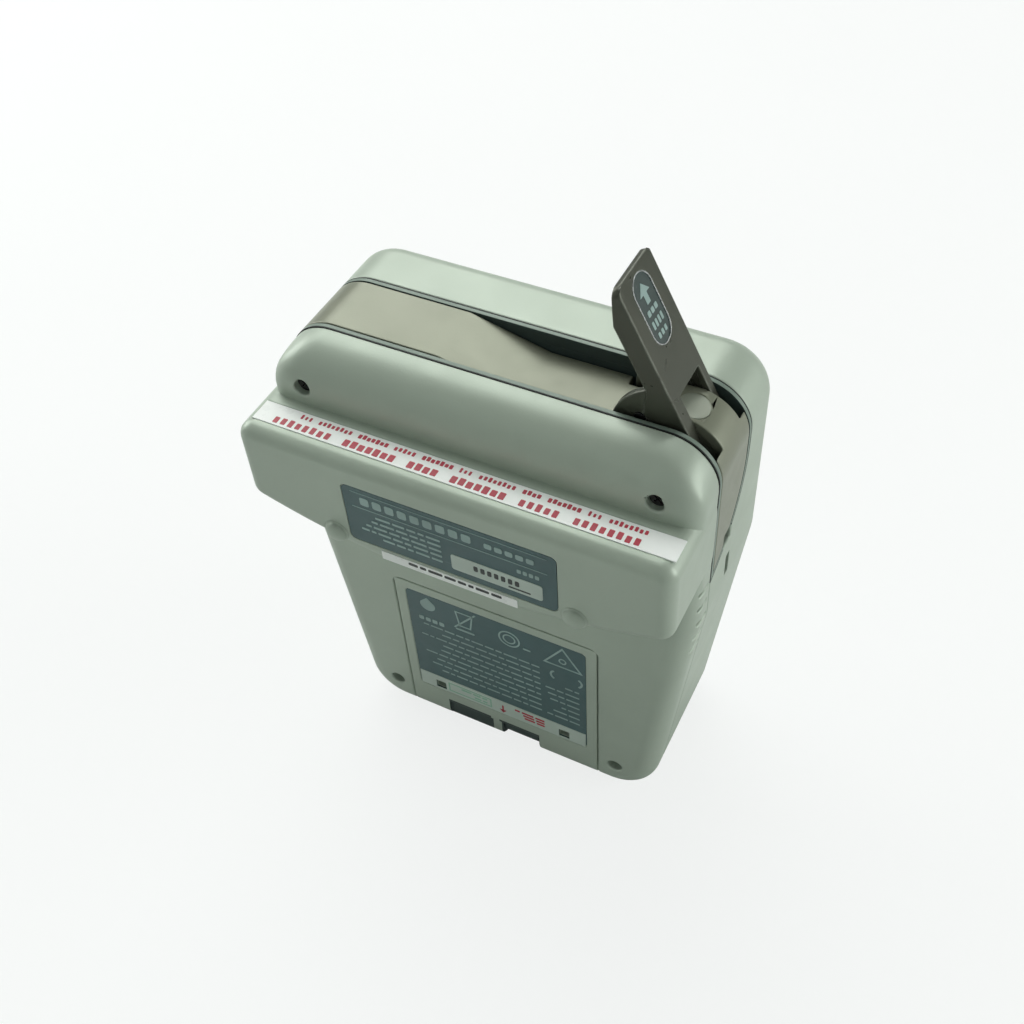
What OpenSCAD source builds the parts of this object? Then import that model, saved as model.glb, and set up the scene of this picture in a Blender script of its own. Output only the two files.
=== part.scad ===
// Hand-held peristaltic infusion pump: two-part case, hinged pump door with a lift latch,
// roller pump head, geared motor, display, keypad and a two-cell battery bay.
// Millimetres. +Z is up, the keypad faces -Y, the battery door faces +Y.
// The origin is the middle of the footprint the pump stands on.

/* [Case] */
// Case width across the top half
body_w = 108; // [104:1:112]
// Case height from the foot to the top of the pump door
body_h = 135; // [132:1:138]
// Front face of the case, behind the key faces
front_y = -31; // [-34:0.5:-30]
// Plane where the front and rear shells meet
seam_y = 6; // [5:0.5:7]
// Rear face of the lower half
back_y = 15.5; // [15:0.5:17]
// Rear face of the motor hump
hump_y = 31; // [30:0.5:32]
// Moulded wall thickness
wall = 2.4; // [2:0.1:2.6]
// Radius of the two top corners
top_r = 12; // [11:0.5:13]
// Radius of the two bottom corners
foot_r = 12.5; // [11:0.5:14]
// How far each side tapers in towards the foot
side_taper = 8; // [4:0.5:9]

/* [Pump door] */
// Thickness of the door skin
skin = 2.6; // [2.2:0.1:3]
// Depth of the lever recess below the top face
recess_d = 5; // [4.5:0.1:5.5]
// Height of the hinge axis
hinge_z = 117; // [116:0.5:118]
// Radius of the hinge barrel
barrel_r = 2.2; // [2:0.1:2.4]

/* [Latch lever] */
// Angle between the shut lever and the raised lever drawn here
lever_open = 63; // [0:1:80]
// Distance from the pivot to the tip of the lever
lever_reach = 38.4; // [34:0.2:38.6]
// Distance from the pivot to the ends of the lever's arms
arm_reach = 10.1; // [9:0.1:10.5]
// Radius of the cam lobes about the pivot
cam_r = 14.2; // [12:0.1:14.4]

/* [Pump head] */
// Radius of the circle the roller centres run on
roller_circle = 10; // [9.5:0.1:10.2]
// Roller radius
roller_r = 2.8; // [2.5:0.1:2.9]
// Gap left for the squeezed tube between a roller and the platen
tube_gap = 1.6; // [1.4:0.1:1.9]
// Outside diameter of the tube
tube_d = 4.1; // [3.8:0.1:4.2]

/* [Gear train] */
// Gear module
gear_m = 0.8; // [0.8]
// Teeth on the rotor shaft gear
gear_n = 36; // [36]
// Teeth on the motor pinion
pinion_n = 12; // [12]

/* [Battery bay] */
// Half width of the battery door
door_half = 29.6; // [29:0.1:30]
// Top edge of the battery door
door_top = 61.5; // [60:0.5:63]
// Cell diameter
cell_d = 26.2; // [25.5:0.1:26.2]
// Cell length
cell_l = 50; // [48:0.5:50]

/* [Keypad] */
// Key cap width
key_w = 16; // [12:0.5:17]
// Key cap height
key_h = 10; // [8:0.5:11]
// How far a key stands out of the case
key_proud = 1; // [0.5:0.1:1]

/* [Hidden] */
$fn = 64;
half_w = body_w / 2;
band_y0 = -12.3;
band_y1 = seam_y - 1.7;
band_mid = (band_y0 + band_y1) / 2;
trim_in = 3.3;
swoop_y = 14;
swoop_z = 118;
swoop_r = 28;
floor_z = body_h - recess_d;
pivot = [-41.8, floor_z];
hinge = [half_w - barrel_r, hinge_z];
rotor_at = [10, 105.2];
pinion_at = [rotor_at[0] - gear_m * (gear_n + pinion_n) / 2, rotor_at[1]];
platen_r = roller_circle + roller_r + tube_gap;
plug_r = 3.7;
ledge_z = 121;
deck_z = 91.4;
low_screws = [35, 10.7];
top_screws = [44, 125.5];
key_cols = [-22, 0, 22];
key_rows = [60, 44, 28];
plate_posts = [[28, 97], [28, 114], [-22, 97], [-22, 114]];
board_posts = [[-36, 16], [36, 16], [-36, 84], [36, 84]];
cell_y = -1.2;
cell_z = 6.2;

// ---- helpers ----

// Outer tangent of two circles [x, y, r], for an outline walked anticlockwise.
function tangent(a, b) =
    let (dx = b[0] - a[0],
         dy = b[1] - a[1],
         len = norm([dx, dy]),
         s = (a[2] - b[2]) / len,
         c = sqrt(1 - s * s),
         nx = (dy * c + dx * s) / len,
         ny = (-dx * c + dy * s) / len)
    [[a[0] + a[2] * nx, a[1] + a[2] * ny], [b[0] + b[2] * nx, b[1] + b[2] * ny]];

// Smooth convex outline round a list of circles.
module belt(cs) {
    n = len(cs);
    polygon([for (i = [0 : n - 1]) each tangent(cs[i], cs[(i + 1) % n])]);
    for (c = cs)
        translate([c[0], c[1]])
            circle(r = c[2]);
}

// Rectangle from p to q with corner radii [low left, low right, high right, high left].
module soft_rect(p, q, r) {
    difference() {
        translate(p)
            square(q - p);
        corner_cut([p[0] + r[0], p[1] + r[0]], [-1, -1], r[0]);
        corner_cut([q[0] - r[1], p[1] + r[1]], [1, -1], r[1]);
        corner_cut([q[0] - r[2], q[1] - r[2]], [1, 1], r[2]);
        corner_cut([p[0] + r[3], q[1] - r[3]], [-1, 1], r[3]);
    }
}

module corner_cut(c, side, r) {
    if (r > 0)
        difference() {
            translate([side[0] > 0 ? c[0] : c[0] - r - 1, side[1] > 0 ? c[1] : c[1] - r - 1])
                square(r + 1);
            translate(c)
                circle(r = r);
        }
}

module along_x(a, b) {
    translate([a, 0, 0])
        rotate([90, 0, 90])
            linear_extrude(b - a)
                children();
}

module along_y(a, b) {
    translate([0, b, 0])
        rotate([90, 0, 0])
            linear_extrude(b - a)
                children();
}

module along_z(a, b) {
    translate([0, 0, a])
        linear_extrude(b - a)
            children();
}

module block(a, b) {
    translate(a)
        cube(b - a);
}

// Round bar along Y through the point [x, z].
module bar_y(at, a, b, r) {
    translate([at[0], b, at[1]])
        rotate([90, 0, 0])
            cylinder(r = r, h = b - a);
}

module bar_x(at, a, b, r) {
    translate([a, at[0], at[1]])
        rotate([0, 90, 0])
            cylinder(r = r, h = b - a);
}

// ---- shared case forms; t is how far inside the outer surface a form lies ----

function case_circles(t) =
    [[-half_w + side_taper + foot_r, foot_r, foot_r - t],
     [half_w - side_taper - foot_r, foot_r, foot_r - t],
     [half_w - 25, 81.5, 25 - t],
     [half_w - top_r, body_h - top_r, top_r - t],
     [-half_w + top_r, body_h - top_r, top_r - t],
     [-half_w + 25, 81.5, 25 - t]];

module outline(t = 0) {
    belt(case_circles(t));
}

module outline_ring(t0, t1) {
    difference() {
        outline(t0);
        outline(t1);
    }
}

// Prism that leans with one tapered side and rounds its edges; s is 1 or -1 for the side.
module leaning_side(s, y0, y1, t, r_low, r_high) {
    line = tangent(case_circles(t)[1], case_circles(t)[2]);
    lean = atan2(line[1][0] - line[0][0], line[1][1] - line[0][1]);
    mirror([s > 0 ? 0 : 1, 0, 0])
        translate([line[0][0], 0, line[0][1]])
            rotate([0, lean, 0])
                translate([0, 0, -60])
                    linear_extrude(220)
                        soft_rect([-130, y0], [0, y1], [0, r_low, r_high, 0]);
}

module front_form(t) {
    intersection() {
        along_y(front_y + t, seam_y + t) outline(t);
        along_z(-1, body_h + 1)
            soft_rect([-half_w + t, front_y + t], [half_w - t, seam_y + 20],
                      [12 - t, 12 - t, 0, 0]);
        along_x(-half_w - 1, half_w + 1)
            soft_rect([front_y + t, t], [seam_y + 20, body_h - t], [7 - t, 0, 0, 9 - t]);
        leaning_side(1, front_y + t, seam_y + 20, t, 10 - t, 0);
        leaning_side(-1, front_y + t, seam_y + 20, t, 10 - t, 0);
    }
}

// Everything behind the swept edge of the front shell.
module behind_swoop(r, y) {
    bar_x([swoop_y, swoop_z], -half_w - 2, half_w + 2, r);
    block([-half_w - 2, y, swoop_z], [half_w + 2, 50, body_h + 2]);
}

module rear_low_form(t) {
    intersection() {
        along_y(seam_y - t, back_y - t) outline(t);
        along_x(-half_w - 1, half_w + 1)
            soft_rect([seam_y - 20, t], [back_y - t, body_h - t], [0, 6 - t, 6 - t, 0]);
        leaning_side(1, seam_y - 20, back_y - t, t, 0, 6 - t);
        leaning_side(-1, seam_y - 20, back_y - t, t, 0, 6 - t);
    }
}

module rear_top_form(t) {
    intersection() {
        along_y(seam_y - t, hump_y - t) outline(t);
        union() {
            along_x(-half_w - 1, half_w + 1)
                soft_rect([seam_y - t, 100], [17.8 - t, body_h - t], [0, 0, 10.5 - t, 0]);
            intersection() {
                along_x(-half_w - 1, half_w + 1)
                    soft_rect([seam_y - t, 80], [hump_y - t, ledge_z - t], [0, 0, 3.5 - t, 0]);
                bar_y([0, 254.5], seam_y - t, hump_y + 1, 166 - t);
                along_z(60, body_h)
                    soft_rect([-half_w + t, seam_y - t], [half_w - t, hump_y - t],
                              [0, 0, 2.6 - t, 2.6 - t]);
            }
        }
    }
}

// Open-topped notch the tube leaves the case through, under the free end of the door.
module tube_notch() {
    block([-half_w - 1, -6.4, 94.8], [-40, -1.6, 99.6]);
}

// ---- case ----

module front_shell() {
    color([0.72, 0.74, 0.69])
    difference() {
        union() {
            difference() {
                front_form(0);
                front_form(wall);
            }
            for (s = [-1, 1])
                bar_y([s * low_screws[0], low_screws[1]], front_y + 1.2, seam_y, 3.6);
            for (p = board_posts)
                bar_y(p, front_y + 1.2, -20, 2.6);
        }
        behind_swoop(swoop_r, front_y + 17);
        for (s = [-1, 1])
            bar_y([s * low_screws[0], low_screws[1]], -4, seam_y + 1, 1.2);
        window_cut();
        for (x = key_cols, z = key_rows)
            translate([x, 0, z])
                key_form(key_w + 0.5, key_h + 0.5, front_y - 1, front_y + wall + 0.5);
        for (x = [-8, 0, 8])
            bar_y([x, 78], front_y - 1, front_y + wall + 1, 1.5);
        bar_x([-8, 75], half_w - 12, half_w + 1, 4);
        block([-half_w - 1, -7.2, 81.6], [-half_w + 8, -4.8, 89]);
        tube_notch();
    }
}

module window_cut() {
    along_y(front_y - 1, front_y + 1.4)
        soft_rect([-33, 89.5], [33, 123.5], [3, 3, 3, 3]);
    along_y(front_y, front_y + wall + 0.5)
        soft_rect([-30.5, 92], [30.5, 121], [1.5, 1.5, 1.5, 1.5]);
}

module rear_shell() {
    color([0.70, 0.72, 0.67])
    difference() {
        union() {
            difference() {
                union() {
                    rear_low_form(0);
                    rear_top_form(0);
                }
                rear_low_form(wall);
                rear_top_form(wall);
            }
            for (s = [-1, 1]) {
                bar_y([s * low_screws[0], low_screws[1]], seam_y, back_y - 1, 3.8);
                bar_y([s * top_screws[0], top_screws[1]], 13, 16.5, 4.2);
            }
        }
        for (s = [-1, 1]) {
            bar_y([s * low_screws[0], low_screws[1]], seam_y - 1, back_y + 1, 1.35);
            bar_y([s * low_screws[0], low_screws[1]], 11.5, back_y + 1, 2.1);
            bar_y([s * top_screws[0], top_screws[1]], 12, 30, 1.35);
            bar_y([s * top_screws[0], top_screws[1]], 14.6, 30, 2.1);
        }
        block([-door_half - 0.3, 9.8, -1], [door_half + 0.3, back_y + 1, door_top + 0.3]);
        block([-door_half - 1.3, 11.5, -1], [door_half + 1.3, 13.3, 9]);
        block([-27.4, hump_y - 0.45, 95], [27.4, hump_y + 1, 114]);
        block([-52.8, 20.4, ledge_z - 0.3], [52.8, 27, ledge_z + 1]);
        for (i = [0 : 4])
            side_grooves(92.5 - i * 5.5);
        for (s = [-1, 1])
            bar_y([s * 31.3, 95.5], hump_y - 1.2, hump_y + 1, 1.4);
    }
}

// A pair of shallow finger grooves, one each side.
module side_grooves(z) {
    reach = z > 80 ? half_w : half_w - (80 - z) * 0.117;
    for (s = [-1, 1])
        block([s > 0 ? reach - 0.6 : -reach - 2, seam_y + 1.2, z - 0.45],
              [s > 0 ? reach + 2 : -reach + 0.6, back_y - 3.5, z + 0.45]);
}

module front_trim() {
    color([0.60, 0.63, 0.59])
    intersection() {
        along_y(front_y, band_y1 + 0.3) outline_ring(0, trim_in);
        difference() {
            behind_swoop(swoop_r - 0.3, front_y + 17.3);
            bar_x([swoop_y, swoop_z], -half_w - 3, half_w + 3, swoop_r - 1.4);
            block([-half_w - 3, band_y0 - 0.3, swoop_z], [half_w + 3, 60, body_h + 3]);
            tube_notch();
        }
    }
}

module rear_trim() {
    color([0.60, 0.63, 0.59])
    intersection() {
        along_y(band_y1 + 0.3, seam_y - 0.3) outline_ring(0, trim_in);
        behind_swoop(swoop_r - 0.3, front_y + 17.3);
    }
}

module case_seals() {
    color([0.08, 0.09, 0.09]) {
        intersection() {
            along_y(seam_y - 0.3, seam_y) outline_ring(0, trim_in);
            behind_swoop(swoop_r, front_y + 17);
        }
        intersection() {
            along_y(front_y, seam_y - 0.3) outline_ring(0, trim_in);
            difference() {
                behind_swoop(swoop_r, front_y + 17);
                bar_x([swoop_y, swoop_z], -half_w - 3, half_w + 3, swoop_r - 0.3);
                block([-half_w - 3, front_y + 17.3, swoop_z], [half_w + 3, 60, body_h + 3]);
                tube_notch();
            }
        }
    }
}

// Inner frame: two plates, a deck, tube cheeks, hinge lugs and screw posts.
module mid_frame() {
    color([0.45, 0.47, 0.46])
    difference() {
        union() {
            frame_plate(front_y + 17, band_y0 - 0.4);
            frame_plate(band_y1 + 0.3, seam_y);
            block([-50, front_y + 17, deck_z - 1.8], [50, seam_y, deck_z]);
            intersection() {
                along_y(band_y0 - 0.4, band_y1 + 0.3) outline(0);
                bar_x([swoop_y, swoop_z], 45.5, half_w + 1, swoop_r - 1.4);
                block([45.5, -20, deck_z - 1.8], [half_w + 1, 20, hinge_z - 2.5]);
            }
            block([-48, band_y0 - 0.4, deck_z - 1], [-44.5, band_y1 + 0.3, 112]);
            block([45.5, band_y0 - 0.4, deck_z - 1], [50.7, -6.4, hinge_z - 2.5]);
            for (y = [[-9.2, -6.5], [-1.5, 1.2]]) {
                bar_y(hinge, y[0], y[1], barrel_r);
                block([hinge[0] - barrel_r, y[0], hinge_z - 5],
                      [hinge[0] + 1.6, y[1], hinge_z]);
            }
            for (p = plate_posts)
                bar_y(p, seam_y - 1, 11.2, 2.2);
            for (s = [-1, 1])
                bar_y([s * top_screws[0], top_screws[1]], seam_y - 1, 13, 3.2);
        }
        bar_y(hinge, -9.3, 1.3, 1);
        bar_y(rotor_at, -15, seam_y + 1, 4);
        block([40, -6.4, 100.5], [half_w + 2, -1.6, 130]);
        block([-half_w, -6.4, 94.8], [-40, -1.6, 130]);
        for (s = [-1, 1])
            bar_y([s * top_screws[0], top_screws[1]], 5, 14, 1.2);
        bar_y([-31.4, 117.6], -13.4, 5.4, 1.5);
    }
}

module frame_plate(a, b) {
    intersection() {
        along_y(a, b) outline(trim_in);
        block([-60, a - 1, deck_z - 1.8], [60, b + 1, body_h]);
    }
}

module keeper_bar() {
    color([0.75, 0.76, 0.77])
    bar_y([-31.4, 117.6], -13.4, 5.4, 1.5);
}

// ---- pump door ----

module pump_door() {
    color([0.66, 0.62, 0.55])
    difference() {
        union() {
            door_skin();
            along_y(band_y0, band_y1)
                polygon([[14.7, body_h], [-6, floor_z], [-26.3, floor_z],
                         [-26.3, floor_z - 2], [-6, floor_z - 2], [14.7, body_h - skin]]);
            block([-34, band_mid - 5.5, floor_z - 2], [-26.3, band_mid + 4.2, floor_z]);
            intersection() {
                along_y(band_mid - 5.5, band_mid + 4.2) outline(0);
                block([-half_w, band_y0, 121], [pivot[0] + 9.2, band_y1, body_h + 1]);
            }
            for (y = [band_y0, band_y1 - 1.3])
                along_y(y, y + 1.3)
                    polygon([[44, body_h - 1], [44, 127], [-6, 127], [-6, 129], [14.7, 134]]);
            for (x = [2, 18])
                translate([x, band_mid, 127.3])
                    cylinder(r = 3.2, h = x < 10 ? 3.6 : 5.6);
            for (y = [[band_y0, -9.3], [1.3, band_y1]])
                bar_y(hinge, y[0], y[1], barrel_r);
        }
        bar_y(pivot, -12, 4, 1.55);
        bar_y(hinge, band_y0 - 1, band_y1 + 1, 1.05);
        for (x = [2, 18])
            translate([x, band_mid, 127])
                cylinder(r = 1.6, h = 2.5);
        on_top_corner(11)
            cylinder(r = plug_r, h = 3);
    }
}

module door_skin() {
    difference() {
        intersection() {
            along_y(band_y0, band_y1) outline_ring(0, skin);
            union() {
                block([-half_w - 1, band_y0, swoop_z], [half_w + 1, band_y1, body_h + 1]);
                block([30, band_y0, hinge_z], [half_w + 1, band_y1, swoop_z + 1]);
                intersection() {
                    bar_x([swoop_y, swoop_z], -half_w - 1, 0, swoop_r - 1.7);
                    block([-half_w - 1, band_y0, 80], [0, band_y1, swoop_z + 1]);
                }
            }
        }
        along_y(band_y0 - 1, band_y1 + 1)
            polygon([[14.7, body_h], [-6, floor_z], [-42, floor_z], [-42, body_h + 2],
                     [14.7, body_h + 2]]);
        for (y = [[band_y0 - 1, band_mid - 5.7], [band_mid + 4.4, band_y1 + 1]]) {
            block([-half_w - 1, y[0], floor_z], [-41.9, y[1], body_h + 2]);
            bar_y(pivot, y[0], y[1], arm_reach + 0.3);
        }
        block([40, -9.3, 110], [half_w + 1, 1.3, hinge_z + 2.5]);
        tube_notch();
    }
}

// Places a child on the rounded top corner above the lever pivot, r from the corner centre.
module on_top_corner(r) {
    translate([-half_w + top_r, band_mid, body_h - top_r])
        rotate([0, -8, 0])
            translate([0, 0, r])
                children();
}

module door_plug() {
    color([0.78, 0.79, 0.74])
    on_top_corner(11)
        cylinder(r = plug_r, h = 0.85);
}

module platen() {
    color([0.86, 0.86, 0.84]) {
        difference() {
            block([rotor_at[0] - 14, band_mid - 5.2, rotor_at[1]],
                  [rotor_at[0] + 14, band_mid + 5.2, rotor_at[1] + platen_r + 2.6]);
            bar_y(rotor_at, -20, 20, platen_r);
        }
        for (x = [2, 18])
            translate([x, band_mid, rotor_at[1] + platen_r + 2])
                cylinder(r = 1.5, h = 6.8);
    }
}

module platen_springs() {
    z0 = rotor_at[1] + platen_r + 2.6;
    color([0.7, 0.7, 0.72])
    for (x = [2, 18])
        translate([x, band_mid, z0])
            linear_extrude(height = 127.3 - z0, twist = -1080, slices = 60, $fn = 10)
                translate([2.25, 0])
                    circle(r = 0.4, $fn = 10);
}

module hinge_pins() {
    color([0.75, 0.76, 0.77]) {
        bar_y(hinge, band_y0 + 0.1, -6.5, 1);
        bar_y(hinge, -1.5, band_y1 - 0.1, 1);
    }
}

// ---- latch lever, drawn shut about its pivot and then raised ----

module raised() {
    translate([pivot[0], band_mid, pivot[1]])
        rotate([0, -lever_open, 0])
            children();
}

module lever_walls() {
    for (y = [-8, 6.2])
        along_y(y, y + 1.8) {
            polygon([[-arm_reach, recess_d], [lever_reach, recess_d],
                     [lever_reach, recess_d - 1.5], [lever_reach - 8, 0.2],
                     [-arm_reach, 0.2]]);
            intersection() {
                circle(r = cam_r);
                polygon([[-4, 0.3], [16, 0.3], [16, -16], [4, -16], [-4, -3]]);
            }
            circle(r = 3.4);
        }
}

module latch_lever() {
    color([0.33, 0.31, 0.27])
    raised()
        difference() {
            intersection() {
                union() {
                    block([-arm_reach, -8, recess_d - 1.6], [lever_reach, 8, recess_d]);
                    lever_walls();
                }
                along_z(-20, 20)
                    soft_rect([-20, -8], [lever_reach, 8], [0, 1.4, 2.2, 0]);
                union() {
                    block([-0.2, -9, -20], [lever_reach, 9, recess_d]);
                    bar_y([-0.2, recess_d - top_r], -9, 9, top_r);
                }
            }
            block([-arm_reach - 1, band_mid + 4 - 5.8, 0], [9.5, band_mid + 4 + 4.5, 6]);
            bar_y([0, 0], -9, 9, 1.5);
            bar_y([7.5, -4.35], -9, 9, 1.3);
            along_z(recess_d - 0.5, recess_d + 1)
                inlay_outline(0);
        }
}

module inlay_outline(t) {
    for (x = [24.2, 33])
        translate([x, 0])
            circle(r = 3.8 - t);
    translate([24.2, -3.8 + t])
        square([8.8, 7.6 - 2 * t]);
}

module lever_inlay() {
    color([0.22, 0.29, 0.29])
    raised()
        along_z(recess_d - 0.5, recess_d - 0.15)
            inlay_outline(0.05);
}

module lever_pin() {
    color([0.75, 0.76, 0.77])
    raised()
        bar_y([0, 0], -8, 8, 1.5);
}

module cam_rivets() {
    color([0.28, 0.28, 0.27])
    raised() {
        bar_y([7.5, -4.35], -8.1, -5.9, 1.3);
        bar_y([7.5, -4.35], 5.9, 8.1, 1.3);
    }
}

// ---- pump head ----

module at_roller(i) {
    a = 45 + 90 * i;
    translate([rotor_at[0] + roller_circle * cos(a), 0, rotor_at[1] + roller_circle * sin(a)])
        children();
}

module rotor() {
    color([0.80, 0.80, 0.78])
    difference() {
        union() {
            bar_y(rotor_at, -9.3, -8.3, roller_circle + 1.4);
            bar_y(rotor_at, 0.3, 1.3, roller_circle + 1.4);
            bar_y(rotor_at, -9.3, 1.3, 4.2);
        }
        bar_y(rotor_at, -10, 2, 2);
        for (i = [0 : 3])
            at_roller(i)
                bar_y([0, 0], -10, 2, 0.9);
    }
}

module roller(i) {
    color([0.88, 0.88, 0.86])
    at_roller(i)
        difference() {
            bar_y([0, 0], -8.2, 0.2, roller_r);
            bar_y([0, 0], -9, 1, 0.95);
        }
}

module roller_1() {
    roller(0);
}

module roller_2() {
    roller(1);
}

module roller_3() {
    roller(2);
}

module roller_4() {
    roller(3);
}

module roller_pins() {
    color([0.75, 0.76, 0.77])
    for (i = [0 : 3])
        at_roller(i)
            bar_y([0, 0], -9.3, 1.3, 0.9);
}

module rotor_shaft() {
    color([0.75, 0.76, 0.77])
    bar_y(rotor_at, -13.8, 12.6, 2);
}

module shaft_bushings() {
    color([0.72, 0.55, 0.30])
    difference() {
        union() {
            bar_y(rotor_at, -14, -12.7, 4);
            bar_y(rotor_at, -12.7, -12, 5);
            bar_y(rotor_at, band_y1 + 0.3, seam_y, 4);
            bar_y(rotor_at, seam_y, seam_y + 0.6, 5);
            bar_y(rotor_at, 11.2, 12.7, 3.2);
        }
        bar_y(rotor_at, -15, 14, 2.05);
    }
}

// ---- gear train ----

function involute(a) = tan(a) * 180 / PI - a;

// Spur gear outline with involute flanks, 25 degree pressure angle.
module gear_outline(n) {
    rp = gear_m * n / 2;
    rb = rp * cos(25);
    rr = rp - 1.15 * gear_m;
    ra = rp + 0.9 * gear_m;
    half_tooth = 90 / n - 0.06 / rp * 180 / PI;
    steps = 4;
    radii = [for (k = [0 : steps]) max(rb, rr) + (ra - max(rb, rr)) * k / steps];
    flank = [for (r = radii) [r, half_tooth + involute(25) - involute(acos(rb / r))]];
    base_gap = flank[0][1];
    polygon([for (i = [0 : n - 1])
        each concat(
            [[rr * cos(i * 360 / n - base_gap), rr * sin(i * 360 / n - base_gap)]],
            [for (f = flank) [f[0] * cos(i * 360 / n - f[1]), f[0] * sin(i * 360 / n - f[1])]],
            [for (k = [steps : -1 : 0])
                [flank[k][0] * cos(i * 360 / n + flank[k][1]),
                 flank[k][0] * sin(i * 360 / n + flank[k][1])]],
            [[rr * cos(i * 360 / n + base_gap), rr * sin(i * 360 / n + base_gap)]])]);
}

module drive_gear() {
    color([0.90, 0.89, 0.82])
    difference() {
        union() {
            translate([rotor_at[0], 0, rotor_at[1]])
                along_y(7.4, 10.4)
                    gear_outline(gear_n);
            bar_y(rotor_at, 6.9, 10.9, 4);
        }
        bar_y(rotor_at, 6, 12, 2);
        for (a = [0 : 60 : 300])
            bar_y([rotor_at[0] + 8.4 * cos(a), rotor_at[1] + 8.4 * sin(a)], 6, 12, 2.4);
    }
}

module motor_pinion() {
    color([0.72, 0.55, 0.30]) {
        translate([pinion_at[0], 0, pinion_at[1]])
            along_y(7.2, 10.6)
                rotate(180 / pinion_n)
                    gear_outline(pinion_n);
        bar_y(pinion_at, 6.7, 16, 1);
    }
}

module gear_plate() {
    color([0.70, 0.71, 0.72])
    difference() {
        along_y(11.2, 12.7)
            soft_rect([-26, 94.6], [32, 117], [3, 3, 3, 3]);
        bar_y(rotor_at, 11, 13, 3.2);
        bar_y(pinion_at, 11, 13, 3);
    }
}

module motor() {
    color([0.55, 0.56, 0.57])
    difference() {
        union() {
            bar_y(pinion_at, 12.7, 26.2, 9.8);
            bar_y(pinion_at, 11.2, 12.7, 3);
            bar_y(pinion_at, 26.2, 27.6, 4);
            for (s = [-1, 1])
                block([pinion_at[0] + s * 6 - 1, 26.2, pinion_at[1] - 0.3],
                      [pinion_at[0] + s * 6 + 1, 28.2, pinion_at[1] + 0.3]);
        }
        bar_y(pinion_at, 11, 16.5, 1.05);
    }
}

// ---- electronics ----

module main_board() {
    color([0.10, 0.32, 0.20])
    difference() {
        along_y(-20, -18.4)
            soft_rect([-40, 12], [40, 123], [3, 3, 3, 3]);
        for (s = [-1, 1])
            bar_y([s * low_screws[0], low_screws[1]], -21, -18, 4.2);
    }
}

module board_parts() {
    color([0.12, 0.12, 0.13]) {
        block([-12, -18.4, 92], [4, -16.4, 108]);
        block([14, -18.4, 96], [26, -16.6, 104]);
        block([-34, -18.4, 112], [-22, -16.9, 118]);
        block([-38, -18.4, 66], [-32, -16.2, 80]);
        for (x = [12, 22])
            bar_y([x, 112], -18.4, -14.6, 3);
    }
    color([0.85, 0.84, 0.80])
        block([24, -18.4, 66], [38, -14, 73]);
}

module keypad_board() {
    color([0.10, 0.32, 0.20]) {
        along_y(-24.6, -23.4)
            soft_rect([-34, 19.4], [34, 81], [2, 2, 2, 2]);
        for (x = [-31, 31], z = [24, 76])
            bar_y([x, z], -23.4, -20, 1.8);
    }
}

module key_mat() {
    color([0.20, 0.20, 0.21]) {
        along_y(-25.4, -24.6)
            soft_rect([-33, 20.4], [33, 72], [2, 2, 2, 2]);
    }
}

module display_module() {
    color([0.30, 0.36, 0.30])
    difference() {
        block([-34, front_y + wall, 89.6], [34, -20, 123]);
        block([-29, front_y + wall - 1, 93.5], [29, front_y + wall + 1.2, 119.5]);
    }
}

module display_window() {
    color([0.55, 0.60, 0.58, 0.5])
    along_y(front_y, front_y + 1.4)
        soft_rect([-32.9, 89.6], [32.9, 123.4], [2.9, 2.9, 2.9, 2.9]);
}

module indicator_lamps() {
    color([0.45, 0.75, 0.45])
    for (x = [-8, 0, 8]) {
        bar_y([x, 78], front_y + 0.2, -24.6, 1.4);
        bar_y([x, 78], -27, -24.6, 1.9);
    }
}

// Rounded key shape centred on the origin in X and Z.
module key_form(w, h, a, b) {
    along_y(a, b)
        soft_rect([-w / 2, -h / 2], [w / 2, h / 2], [2, 2, 2, 2]);
}

module key(n) {
    translate([key_cols[n % 3], 0, key_rows[floor(n / 3)]]) {
        key_form(key_w, key_h, front_y - key_proud, front_y + wall + 0.1);
        key_form(key_w + 1.6, key_h + 1.6, front_y + wall, front_y + wall + 0.7);
        bar_y([0, 0], front_y + wall, -26.3, 2);
    }
}

module key_1() {
    color([0.85, 0.86, 0.82]) key(0);
}

module key_2() {
    color([0.85, 0.86, 0.82]) key(1);
}

module key_3() {
    color([0.85, 0.86, 0.82]) key(2);
}

module key_4() {
    color([0.85, 0.86, 0.82]) key(3);
}

module key_5() {
    color([0.85, 0.86, 0.82]) key(4);
}

module key_6() {
    color([0.85, 0.86, 0.82]) key(5);
}

module key_7() {
    color([0.35, 0.60, 0.42]) key(6);
}

module key_8() {
    color([0.85, 0.86, 0.82]) key(7);
}

module key_9() {
    color([0.75, 0.30, 0.26]) key(8);
}

module sounder() {
    color([0.15, 0.15, 0.16])
    difference() {
        bar_y([-28, 98], -18.4, -14.4, 7);
        bar_y([-28, 98], -16, -14, 1.2);
    }
}

module power_jack() {
    color([0.12, 0.12, 0.13])
    difference() {
        union() {
            block([40.5, -13, 70], [48, -3, 80]);
            bar_x([-8, 75], 48, 52.6, 4);
        }
        bar_x([-8, 75], 42, 54, 2.8);
    }
}

module data_socket() {
    color([0.12, 0.12, 0.13])
    difference() {
        block([-half_w + 1.2, -7.2, 81.6], [-46, -4.8, 89]);
        block([-half_w, -6.7, 82.3], [-51, -5.3, 88.3]);
    }
}

module tube_sensors() {
    color([0.25, 0.26, 0.28]) {
        block([-32, band_mid - 4, deck_z], [-22, band_mid + 4, 94.6]);
        difference() {
            block([-42, band_mid - 4.5, deck_z], [-35, band_mid + 4.5, 101]);
            block([-43, band_mid - 2.4, 94.8], [-34, band_mid + 2.4, 102]);
        }
    }
}

// ---- battery bay ----

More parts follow.
